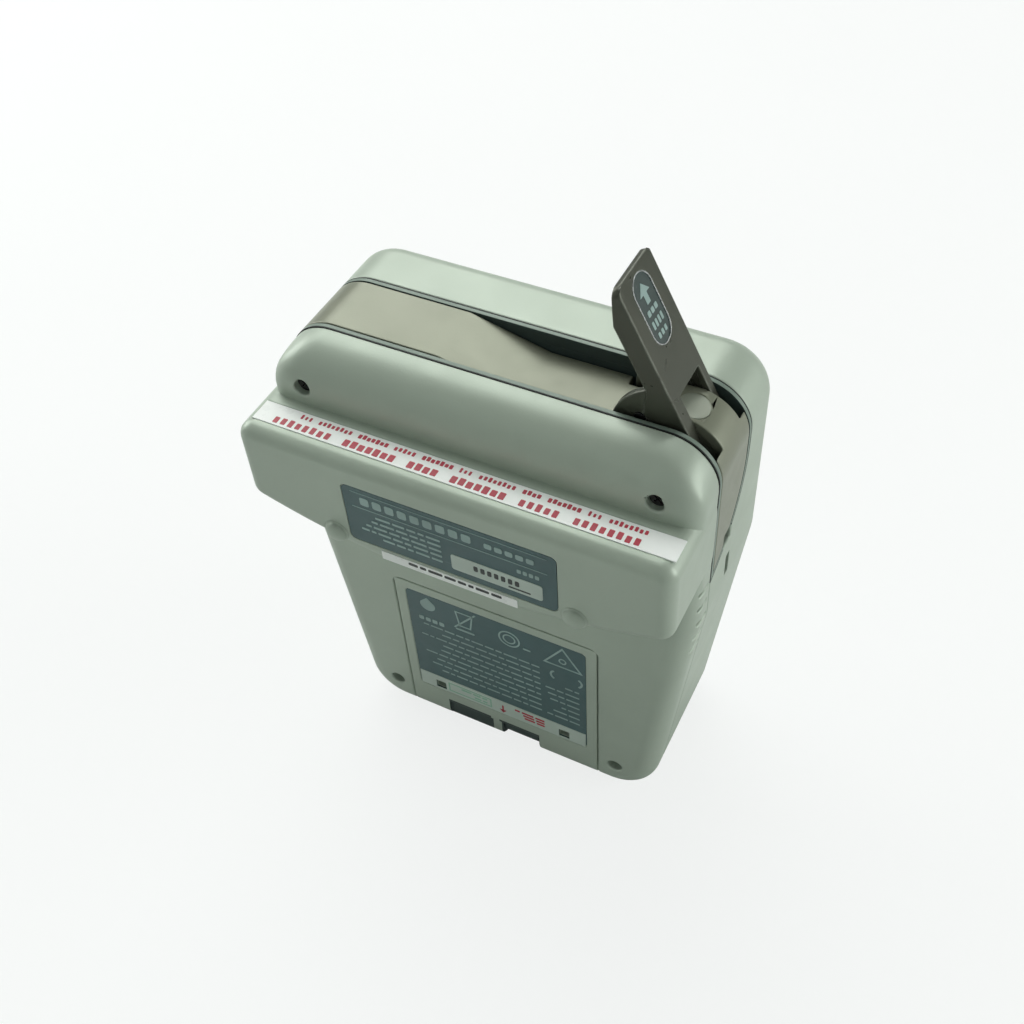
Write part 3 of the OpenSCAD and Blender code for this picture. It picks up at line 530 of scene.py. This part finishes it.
def soften(target, width_mm, limit="ANGLE"):
    """Small moulded radius on the sharp edges, then normals that keep flat faces flat."""
    bevel = target.modifiers.new("edge", "BEVEL")
    bevel.width = width_mm * MM
    bevel.segments = 3
    bevel.limit_method = limit
    bevel.angle_limit = SQUARE
    bevel.use_clamp_overlap = False
    bevel.miter_outer = "MITER_ARC"
    weighted = target.modifiers.new("normals", "WEIGHTED_NORMAL")
    weighted.keep_sharp = True


def settle(piece, body, slot, material, *stands_for):
    """Gives a piece its material and body, and hides the CAD nodes it stands for. slot is not
    used.
    """
    piece.data.materials.clear()
    piece.data.materials.append(M[material])
    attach(piece, body)
    if stands_for:
        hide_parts(*stands_for)
    return piece


# ---------------------------------------------------------------- case shells

def rear_form(name, outline, face, rounding, wall=0):
    """Solid from the seam to a rounded rear face, wall mm inside the case's surface."""
    start = SEAM - LAP if wall else SEAM
    stations = [(start, 0)] + fillet(face - wall, rounding - wall, 1)
    return form(name, outline, [(y, wall + inset) for y, inset in stations])


def finger_grooves(s):
    """Cutters of the short level grooves in the case's side at s times X."""
    cuts = []
    for row in range(GROOVES):
        z = TOP_GROOVE_Z - row * GROOVE_PITCH
        reach = SIDE_X - max(0, WAIST_Z - z) * WAIST_SLOPE
        x0, x1 = sorted((s * (reach - GROOVE_DEPTH), s * (reach + 2)))
        cuts.append(("y", rect(x0, z - GROOVE_HALF, x1, z + GROOVE_HALF), 7.2, 12))
    return cuts


def rear_case():
    """Low body, motor hump and shoulder, hollowed out, with the screw posts inside."""
    above_body = [("y", soft_rect(-60, BODY_TOP, 60, 150, 1), 0, 20)]
    shell = rear_form("rear_case", case_outline, REAR_FACE, REAR_ROUND)
    combine(shell, prisms("part", above_body))
    combine(shell, rear_form("part", hump_outline, HUMP_FACE, HUMP_ROUND), "UNION")
    combine(shell, shoulder_form("part", 0, SEAM), "UNION")
    hollow = rear_form("part", case_outline, REAR_FACE, REAR_ROUND, WALL)
    combine(hollow, prisms("part", above_body))
    combine(shell, hollow)
    combine(shell, rear_form("part", hump_outline, HUMP_FACE, HUMP_ROUND, WALL))
    combine(shell, shoulder_form("part", WALL, SEAM - LAP))
    posts = [("y", disc(s * UPPER_SCREW_X, UPPER_SCREW_Z, 3.2), 12, 15.8) for s in (-1, 1)]
    posts += [("y", disc(s * LOWER_SCREW_X, LOWER_SCREW_Z, 3.8), SEAM, 14.5)
              for s in (-1, 1)]
    combine(shell, prisms("part", posts), "UNION")
    battery_opening = soft_rect(-29.9, -9, 29.9, 61.8, 2.6)
    label_recess = soft_rect(-27.4, 95, 27.4, 114, 1.7)
    cuts = [("y", battery_opening, 9.8, 17), ("y", label_recess, HUMP_FACE - 0.45, 32)]
    for s in (-1, 1):
        cuts.append(("y", disc(s * LOWER_SCREW_X, LOWER_SCREW_Z, SCREW_HOLE), 11, 17))
        cuts.append(("y", disc(s * UPPER_SCREW_X, UPPER_SCREW_Z, SCREW_HOLE), 14.6, 20))
        cuts += finger_grooves(s)
    combine(shell, prisms("part", cuts))
    strip_ledge = rect(20.4, 120.7, 27, 123)
    combine(shell, prisms("part", [("x", strip_ledge, -52.8, 52.8)]))
    edge = 0.45
    tidy(shell, edge)
    soften(shell, edge, "WEIGHT")
    settle(shell, "case", "case_plastic", "case_plastic", "rear_shell")


def rear_bumps():
    """Two low domes the pump rests on when it lies on its back."""
    turn = [math.tau * k / 36 for k in range(36)]
    rise = [math.pi / 2 * k / 9 for k in range(9)]
    profile = [(3.3, 30.2), (3.3, 31.03), (3.0, 31.15)]      # (radius, y)
    profile += [(2.85 * math.cos(t), 31.3 + 1.5 * math.sin(t)) for t in rise]
    for s, side in ((-1, "right"), (1, "left")):
        rings = [[(s * BUMP_X + r * math.cos(a), y, BUMP_Z + r * math.sin(a)) for a in turn]
                 for r, y in profile]
        dome = loft(f"rear_bump_{side}", rings)
        dome.data.shade_smooth()
        settle(dome, "case", "trim_plastic", "bump_plastic", "rear_bumps")


def front_case():
    """Hollow front shell, cut by the swoop of the pump door, with the openings of its
    face and sides."""
    outside = fillet(FRONT_FACE, FRONT_ROUND, -1, 16)[::-1] + [(SEAM, 0)]
    inside = fillet(FRONT_FACE + WALL, FRONT_ROUND - WALL, -1)[::-1] + [(SEAM + LAP, 0)]
    shell = form("front_case", case_outline, outside)
    combine(shell, form("part", case_outline, [(y, WALL + inset) for y, inset in inside]))
    swoop_y, swoop_z, swoop_radius = 14, 118, 28
    front, rear, above = swoop_y - swoop_radius, swoop_y + swoop_radius, 140
    swoop = [(front, above), (front, swoop_z)]
    swoop += arc((swoop_y, swoop_z), swoop_radius, 180, 360, 64)[1:] + [(rear, above)]
    combine(shell, prisms("part", [("x", swoop, -60, 60)]))
    display_recess = soft_rect(-33, 89.5, 33, 123.5, 3)
    display_opening = soft_rect(-30.5, 92, 30.5, 121, 1.5)
    cuts = [("y", display_recess, -33, -29.6)]
    for x in KEY_COLUMNS:
        for z in KEY_ROWS:
            key = soft_rect(x - KEY_HALF_WIDTH, z - KEY_HALF_HEIGHT,
                            x + KEY_HALF_WIDTH, z + KEY_HALF_HEIGHT, 2)
            cuts.append(("y", key, -33, -28))
    cuts += [("y", disc(x, LAMP_Z, 1.5), -33, -28) for x in LAMP_COLUMNS]
    power_jack = disc(-8, 75, 4)
    data_socket = soft_rect(-7.2, 81.6, -4.8, 89, 0.3)
    tube_outlet = soft_rect(-6.4, 94.8, -1.6, 99.6, 0.4)
    cuts += [("x", power_jack, 46, 56), ("x", data_socket, -56, -46),
             ("x", tube_outlet, -56, -46)]
    combine(shell, prisms("part", cuts))
    combine(shell, prisms("part", [("y", display_opening, -30, -28)]))
    edge = 0.4
    tidy(shell, edge, plain=(70, 90))
    soften(shell, edge, "WEIGHT")
    settle(shell, "case", "case_plastic", "case_plastic", "front_shell")


rear_case()
rear_bumps()
front_case()


# ---------------------------------------------------------------- carried-over CAD nodes
# The rounding in mm on the edges seen from outside, and finishes other than the CAD's own.

SOFT_EDGES = {"pump_door": 0.3, "latch_lever": 0.28, "battery_door": 0.3,
              "front_trim": 0.1, "rear_trim": 0.1, "battery_latch": 0.2, "platen": 0.2}
OWN_FINISH = {"battery_latch": "latch_plastic", "battery_door": "door_cover",
              "lever_inlay": "inlay_film"}


def join_faces(node):
    """Joins the node's faces into one smooth-shaded surface with its hard edges kept."""
    with bpy.context.temp_override(object=node, active_object=node):
        bpy.ops.mesh.customdata_custom_splitnormals_clear()
    node.data.shade_smooth()
    node.data.set_sharp_from_angle(angle=SHARP)
    weld = node.modifiers.new("join", "WELD")
    weld.merge_threshold = 0.002 * MM


for name, node in nodes.items():
    finish = OWN_FINISH.get(name, node.data.materials[0].name)
    for slot in range(len(node.data.materials)):
        node.data.materials[slot] = M[finish.split(".")[0]]
    if name in SOFT_EDGES:
        join_faces(node)
        soften(node, SOFT_EDGES[name])


# ---------------------------------------------------------------- printed and raised marks

LEVEL = 0.09                                 # mm a mark stands above its surface


def marks(name, shapes, place, body, slot, material, height=LEVEL):
    """Thin raised marks. Each shape is an outline, or an (outer, inner) pair for a frame,
    in the plane's own mm; place is the matrix from (a, b, height) to the row frame."""
    builder = bmesh.new()

    def points(outline, level):
        return [builder.verts.new(place @ Vector((a * MM, b * MM, level * MM)))
                for a, b in outline]

    for shape in shapes:
        framed = isinstance(shape[0][0], (tuple, list))
        loops = shape if framed else (shape,)
        rings = [(points(loop, -LEVEL), points(loop, height)) for loop in loops]
        for low, high in rings:
            for k in range(len(low)):
                n = (k + 1) % len(low)
                builder.faces.new((low[k], low[n], high[n], high[k]))
        for level in (0, 1):
            if framed:
                outer, inner = rings[0][level], rings[1][level]
                for k in range(len(outer)):
                    n = (k + 1) % len(outer)
                    builder.faces.new((outer[k], outer[n], inner[n], inner[k]))
            else:
                builder.faces.new(rings[0][level])
    return settle(new_object(name, builder), body, slot, material)


def stroke(points, width, closed=False):
    """Outline of a line of even width through the points; a closed one is a frame pair."""
    count = len(points)
    left, right = [], []
    for k in range(count):
        here = Vector(points[k])
        before = Vector(points[k - 1]) if closed or k else here
        after = Vector(points[(k + 1) % count]) if closed or k < count - 1 else here
        into = (here - before).normalized() if before != here else None
        out = (after - here).normalized() if after != here else None
        into, out = into or out, out or into
        normal = Vector((-into.y - out.y, into.x + out.x)).normalized()
        stretch = 1 / max(0.4, normal.dot(Vector((-into.y, into.x))))
        left.append(tuple(here + normal * width / 2 * stretch))
        right.append(tuple(here - normal * width / 2 * stretch))
    return (left, right) if closed else left + right[::-1]


def bar(x0, z0, x1, z1, r=0.15):
    return soft_rect(min(x0, x1), min(z0, z1), max(x0, x1), max(z0, z1), r, 2)


def bar_row(count, pitch, x, z0, width, z1, r):
    """Even bars from x on; a negative pitch and width run toward -X."""
    return [bar(x + k * pitch, z0, x + k * pitch + width, z1, r) for k in range(count)]


def ring(x, z, outer, inner):
    return disc(x, z, outer), disc(x, z, inner)


def print_rows(x0, x1, z_top, rows, pitch, height, seed):
    """Rows of short bars that stand in for small print."""
    shapes = []
    for row in range(rows):
        x, step = x0, seed + row * 7
        z = z_top - row * pitch
        while True:
            length = 1.3 + (step * 37 % 29) / 10
            if x + length > x1 - (step * 13 % 5):
                break
            shapes.append(bar(x, z - height, x + length, z, height * 0.3))
            x += length + 0.55
            step += 1
    return shapes


def facing_rear(y):
    """a runs along X, b along Z and height along +Y."""
    return Matrix(((1, 0, 0, 0), (0, 0, 1, y * MM), (0, 1, 0, 0), (0, 0, 0, 1)))


def facing_front(y):
    """a runs along X, b along Z and height along -Y."""
    return Matrix(((1, 0, 0, 0), (0, 0, -1, y * MM), (0, 1, 0, 0), (0, 0, 0, 1)))


def facing_up(z):
    """a runs along X, b along Y and height along +Z."""
    return Matrix(((1, 0, 0, 0), (0, 1, 0, 0), (0, 0, 1, z * MM), (0, 0, 0, 1)))


def surface_level(node, axis):
    """Highest point of a CAD node along an axis, in mm."""
    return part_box(node)[1][axis] / MM


def hump_label_marks():
    """Heading, rules, rows of small print and a pale panel with a dark number row."""
    hump = facing_rear(surface_level("data_label", 1))
    heading = bar_row(9, -3.3, 22.6, 108.6, -2.4, 111.2, 0.5)
    heading += bar_row(5, -2.6, -9.5, 108.9, -1.9, 110.6, 0.4)
    heading += [bar(-25.0, 107.25, 25.0, 107.5, 0.1), bar(-25.0, 112.3, 25.0, 112.5, 0.1)]
    heading += print_rows(2, 24, 105.9, 5, 1.8, 0.7, 3)
    heading += bar_row(4, -1.5, -17.4, 104.3, -1.0, 105.6, 0.25)
    panel = soft_rect(-23.6, 97.3, -0.4, 102.5, 0.7)
    number = bar_row(7, -1.75, -6.2, 99.3, -1.1, 101.1, 0.3) + [bar(-15, 98.1, -20.6, 98.6)]
    marks("data_label_print", heading, hump, "case", "label_film", "pale_ink")
    marks("data_label_panel", [panel], hump, "case", "white_film", "grey_film", 0.12)
    marks("data_label_number", number, hump, "case", "label_film", "dark_ink", 0.16)


def door_label_pictograms():
    """Drop, row of bars, crossed bin, rings, triangle and a pair of arcs, all generic."""
    pictograms = [arc((20.0, 54.0), 2.3, -205, 25, 18) + [(20.0, 57.2)]]
    pictograms += bar_row(4, -2.1, 23.4, 46.6, -1.5, 48.2, 0.3)
    pictograms += [stroke([(11.4, 56.0), (6.4, 56.0), (7.3, 50.2), (10.5, 50.2)], 0.45, True),
                   stroke([(12.2, 48.8), (5.4, 57.2)], 0.5), bar(11.9, 48.0, 6.2, 48.7, 0.2)]
    pictograms += [ring(-4.4, 52.6, 3.2, 2.75), ring(-4.4, 52.6, 1.9, 1.5),
                   bar(-8.4, 50.4, -10.6, 51.0)]
    pictograms += [stroke([(-14.6, 49.0), (-25.2, 49.0), (-19.9, 57.0)], 0.5, True),
                   ring(-19.9, 51.6, 1.15, 0.75)]
    pictograms += [stroke(arc((-18.2, 44.2), 1.9, -60, 60, 10), 0.6),
                   stroke(arc((-23.4, 44.2), 1.9, 120, 240, 10), 0.6)]
    return pictograms


def door_label_marks():
    """Pictograms over rows of small print, and along the lower edge a pale strip with two
    square openings, a green frame and red small print."""
    cover = facing_rear(surface_level("door_label", 1))
    marks("door_label_pictograms", door_label_pictograms(), cover, "battery_door",
          "label_film", "pale_ink")
    small_print = print_rows(-13, 23.5, 45.2, 9, 2.55, 0.55, 5)
    small_print += print_rows(-24.5, -13.5, 40.0, 7, 2.55, 0.55, 11)
    marks("door_label_print", small_print, cover, "battery_door", "label_film", "pale_ink",
          0.05)
    low, sill, head, high = 14.5, 15.2, 18.4, 20.8
    pale = [rect(-26.2, low, -21.2, high), rect(-18.0, low, 18.0, high),
            rect(21.2, low, 26.2, high)]
    for x in (-21.2, 18.0):
        pale += [rect(x, head, x + 3.2, high), rect(x, low, x + 3.2, sill)]
    marks("door_label_strip", pale, cover, "battery_door", "white_film", "grey_film", 0.12)
    frame_line = [(16.9, 15.7), (3.4, 15.7), (3.4, 19.3), (16.9, 19.3)]
    green = [stroke(frame_line, 0.35, True)] + print_rows(4.6, 16.2, 18.6, 2, 1.5, 0.6, 4)
    marks("door_label_arrows", green, cover, "battery_door", "white_film", "green_ink", 0.17)
    red = print_rows(-13.6, -2.2, 19.4, 3, 1.25, 0.75, 2)
    red += [bar(-0.7, 15.6, -0.2, 18.8), [(-1.5, 16.6), (-0.45, 15.2), (0.6, 16.6)]]
    marks("door_label_red", red, cover, "battery_door", "white_film", "red_ink", 0.17)


def strip_words(y0, y1, words, start, unit, gap):
    """Tall red bars in word groups, like bold print seen too small to read."""
    shapes, x = [], start
    for word in words:
        for k in range(word):
            width = unit * (0.5 + 0.24 * ((word * 5 + k * 3) % 3) / 2)
            tall = (word + k * 2) % 3
            shapes.append(bar(x, y0 + 0.15 * tall, x - width, y1 - 0.1 * (k % 2), 0.18))
            x -= unit
        x -= gap
    return shapes


def tag_and_strip_marks():
    """The sliver tag under the hump label, and the strip on the ledge above it."""
    tag = facing_rear(surface_level("serial_tag", 1))
    marks("serial_tag_print", print_rows(-13, 15, 93.6, 1, 1, 0.9, 9), tag, "case",
          "white_film", "dark_ink", 0.04)
    ledge_top = facing_up(surface_level("top_strip", 2))
    words = strip_words(24.0, 26.2, (8, 7, 4, 7, 5, 8), 47.5, 1.98, 3.0)
    words += strip_words(21.3, 22.7, (3, 8, 7, 5, 7, 3, 8, 4, 7, 3, 8), 42.0, 1.15, 1.45)
    marks("top_strip_bold", words, ledge_top, "case", "white_film", "red_ink", 0.05)


def lever_marks():
    """Raised arrow and bars on the lever's oval inlay, and the rim round it. a runs along
    the raised lever and b along Y."""
    raised = math.radians(LEVER_RAISED)
    along = Vector((math.cos(raised), 0, math.sin(raised)))
    up = Vector((-math.sin(raised), 0, math.cos(raised)))
    origin = Vector(LEVER_PIVOT) * MM + up * LEVER_TOP * MM
    inlay = Matrix(((along.x, 0, up.x, origin.x), (0, 1, 0, origin.y),
                    (along.z, 0, up.z, origin.z), (0, 0, 0, 1)))
    shapes = [[(34.6, 0), (32.2, 2.2), (32.2, 0.75), (29.9, 0.75), (29.9, -0.75),
               (32.2, -0.75), (32.2, -2.2)]]
    shapes += [bar(27.6, y, 28.9, y + 1.2, 0.25) for y in (-2.2, -0.6, 1.0)]
    shapes += [bar(24.6, y, 26.4, y + 0.8, 0.2) for y in (-2.4, -1.1, 0.2, 1.5)]
    shapes += [bar(22.2, y, 23.5, y + 0.9, 0.2) for y in (-1.9, -0.45, 1.0)]
    marks("lever_inlay_print", shapes, inlay, "lever", "label_film", "pale_ink", 0.06)
    rim, rim_in = [arc((24.2, 0), r, 90, 270, 20) + arc((33.0, 0), r, -90, 90, 20)
                   for r in (3.95, 3.72)]
    marks("lever_inlay_rim", [(rim, rim_in)], inlay, "lever", "lever_metal", "pin_steel", 0.2)


def display_marks():
    """The digits 01.2, a drop, a battery, a gauge and a row of bars."""
    glass = facing_front(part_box("display_module")[0][1] / MM)
    digits = [stroke([(-20, 103), (-20, 113), (-14, 113), (-14, 103)], 1.7, True),
              bar(-10.6, 103, -8.7, 113.8, 0.3), bar(-5.4, 102.2, -3.8, 103.8, 0.4),
              stroke([(-0.5, 112.9), (5.5, 112.9), (5.5, 108), (-0.5, 108), (-0.5, 103),
                      (5.5, 103)], 1.7)]
    battery = [stroke(rect(18, 116.4, 26, 119.4), 0.5, True), bar(26.4, 117.2, 27.1, 118.6)]
    battery += [bar(18.8 + k * 2.3, 117.0, 20.5 + k * 2.3, 118.8) for k in range(3)]
    gauge = [stroke(rect(-26, 95, 26, 97.6), 0.4, True), bar(-25.3, 95.7, 9, 96.9, 0.2)]
    drip = [arc((19, 105.6), 3.0, -205, 25, 18) + [(19, 111.6)]]
    title = [bar(-26 + k * 3.1, 117.2, -23.8 + k * 3.1, 118.8, 0.3) for k in range(7)]
    marks("display_reading", digits + battery + gauge + drip + title, glass, "case",
          "display_plastic", "dark_ink", 0.06)


def key_signs():
    """Up, fast up, menu, down, fast down, bell, start, pause and stop, on key_1 to key_9."""
    up = [(-3.0, -1.8), (3.0, -1.8), (0, 2.6)]
    signs = [
        [up],
        [[(x, z * 0.55 + 1.4) for x, z in up], [(x, z * 0.55 - 1.7) for x, z in up]],
        [bar(-3.4, z, 3.4, z + 0.8, 0.3) for z in (-2.4, -0.4, 1.6)],
        [[(x, -z) for x, z in up]],
        [[(x, -z * 0.55 - 1.4) for x, z in up], [(x, -z * 0.55 + 1.7) for x, z in up]],
        [arc((0, -0.9), 2.6, 0, 180, 14) + [(-3.4, -1.9), (3.4, -1.9)],
         disc(0, -2.9, 0.7, 12)],
        [[(-2.0, -2.8), (2.9, 0), (-2.0, 2.8)]],
        [bar(-2.5, -2.5, -0.8, 2.5, 0.3), bar(0.8, -2.5, 2.5, 2.5, 0.3)],
        [bar(-2.4, -2.4, 2.4, 2.4, 0.4)],
    ]
    key_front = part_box("key_1")[0][1] / MM
    for number, sign in enumerate(signs, 1):
        low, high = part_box(f"key_{number}")
        middle = Matrix.Translation(((low[0] + high[0]) / 2, 0, (low[2] + high[2]) / 2))
        slot, ink = ("white_film",) * 2 if number in (7, 9) else ("key_plastic", "dark_ink")
        marks(f"key_{number}_sign", sign, middle @ facing_front(key_front),
              f"key_{number}", slot, ink)


hump_label_marks()
door_label_marks()
tag_and_strip_marks()
lever_marks()
display_marks()
key_signs()


# ---------------------------------------------------------------- floor, light, camera

CAMERA_TURN, CAMERA_RISE, CAMERA_ROLL = [math.radians(a) for a in (30.2, 48.0, -4.4)]
CAMERA_AIM, CAMERA_DISTANCE, FOCAL_LENGTH = (-2.8, 6.0, 92.3), 307.9, 44.45     # mm
CAMERA_BACK = Vector((-math.sin(CAMERA_TURN) * math.cos(CAMERA_RISE),
                      math.cos(CAMERA_TURN) * math.cos(CAMERA_RISE),
                      math.sin(CAMERA_RISE)))
CENTER = (0, 0, 0.08)                        # what the lights point at, in metres


def pale_floor(glow_share=0.76, glow_strength=1.06):
    """Round sheet that curves up far behind the part. The camera alone sees a share of it
    as an even glow, so that it looks paler than the light it gives back."""
    count = 96
    profile = [(0.4, 0.0), (1.2, 0.0)]
    profile += [(1.2 + 0.5 * math.sin(a), 0.5 - 0.5 * math.cos(a))
                for a in [math.radians(9 * k) for k in range(1, 11)]]
    profile += [(1.7, 2.4)]
    builder = bmesh.new()
    rings = [[builder.verts.new((radius * math.cos(2 * math.pi * k / count),
                                 radius * math.sin(2 * math.pi * k / count), height))
              for k in range(count)] for radius, height in profile]
    builder.faces.new(rings[0])
    for low, high in zip(rings, rings[1:]):
        for k in range(count):
            n = (k + 1) % count
            builder.faces.new((low[k], high[k], high[n], low[n]))
    mesh = bpy.data.meshes.new("floor")
    builder.to_mesh(mesh)
    builder.free()
    mesh.shade_smooth()
    floor = bpy.data.objects.new("floor", mesh)
    bpy.context.scene.collection.objects.link(floor)
    g = Graph("floor_paper")
    tone = g.mix(g.remap(g.noise(160), 0.3, 0.7), (0.655, 0.668, 0.660, 1.0),
                 (0.675, 0.688, 0.680, 1.0))
    paper = g.surface(Base_Color=tone, Roughness=0.9)
    glow = g.add("ShaderNodeEmission", {"Color": (0.985, 1.0, 0.993, 1.0),
                                        "Strength": glow_strength})
    seen = g.math("MULTIPLY", g.add("ShaderNodeLightPath").outputs["Is Camera Ray"],
                  glow_share)
    blend = g.add("ShaderNodeMixShader", {0: seen, 2: glow.outputs[0]})
    g.tree.links.new(g.output.inputs[0].links[0].from_socket, blend.inputs[1])
    g.tree.links.new(blend.outputs[0], g.output.inputs[0])
    floor.data.materials.append(paper)


def studio_sky(strength, toward_camera):
    """Even pale light from all round, dimmed where the photographer stands."""
    world = bpy.data.worlds.new("studio")
    world.use_nodes = True
    tree = world.node_tree
    direction = tree.nodes.new("ShaderNodeTexCoord").outputs["Generated"]
    facing = tree.nodes.new("ShaderNodeVectorMath")
    facing.operation = "DOT_PRODUCT"
    tree.links.new(direction, facing.inputs[0])
    facing.inputs[1].default_value = toward_camera
    dimmed = tree.nodes.new("ShaderNodeMapRange")
    dimmed.interpolation_type = "SMOOTHSTEP"
    tree.links.new(facing.outputs["Value"], dimmed.inputs["Value"])
    dimmed.inputs["From Min"].default_value = 0.05
    dimmed.inputs["From Max"].default_value = 0.80
    dimmed.inputs["To Min"].default_value = strength
    dimmed.inputs["To Max"].default_value = strength * 0.03
    background = tree.nodes["Background"]
    background.inputs["Color"].default_value = (0.93, 1.0, 0.96, 1.0)
    tree.links.new(dimmed.outputs["Result"], background.inputs["Strength"])
    bpy.context.scene.world = world


def soft_light(name, place, size, watts, color):
    """Round lamp of a size in metres, aimed at the middle of the pump."""
    data = bpy.data.lights.new(name, "AREA")
    data.shape = "ELLIPSE"
    data.size = size
    data.size_y = size
    data.energy = watts
    data.color = color
    light = bpy.data.objects.new(name, data)
    light.location = place
    direction = Vector(CENTER) - Vector(place)
    light.rotation_euler = direction.to_track_quat("-Z", "Y").to_euler()
    bpy.context.scene.collection.objects.link(light)


def matched_camera():
    """Camera at the photograph's viewing angle."""
    back = CAMERA_BACK
    right = (-back).cross(Vector((0, 0, 1))).normalized()
    up = right.cross(-back)
    side = math.cos(CAMERA_ROLL) * right + math.sin(CAMERA_ROLL) * up
    top = math.cos(CAMERA_ROLL) * up - math.sin(CAMERA_ROLL) * right
    data = bpy.data.cameras.new("camera")
    data.sensor_width = 36
    data.lens = FOCAL_LENGTH
    data.clip_start = 0.01
    camera = bpy.data.objects.new("camera", data)
    place = Vector(CAMERA_AIM) * MM + back * CAMERA_DISTANCE * MM
    camera.matrix_world = Matrix.Translation(place) @ Matrix(
        (side, top, back)).transposed().to_4x4()
    bpy.context.scene.collection.objects.link(camera)
    bpy.context.scene.camera = camera


pale_floor()
studio_sky(1.22, CAMERA_BACK)
soft_light("key", (0.45, -0.62, 0.88), 1.1, 8.0, (0.98, 1.0, 0.97))
soft_light("left", (0.9, -0.1, 0.40), 0.6, 3.4, (0.98, 1.0, 0.98))
soft_light("right", (-0.9, -0.3, 0.35), 0.6, 3.9, (0.98, 1.0, 0.98))
matched_camera()
bpy.context.scene.view_settings.view_transform = "Standard"
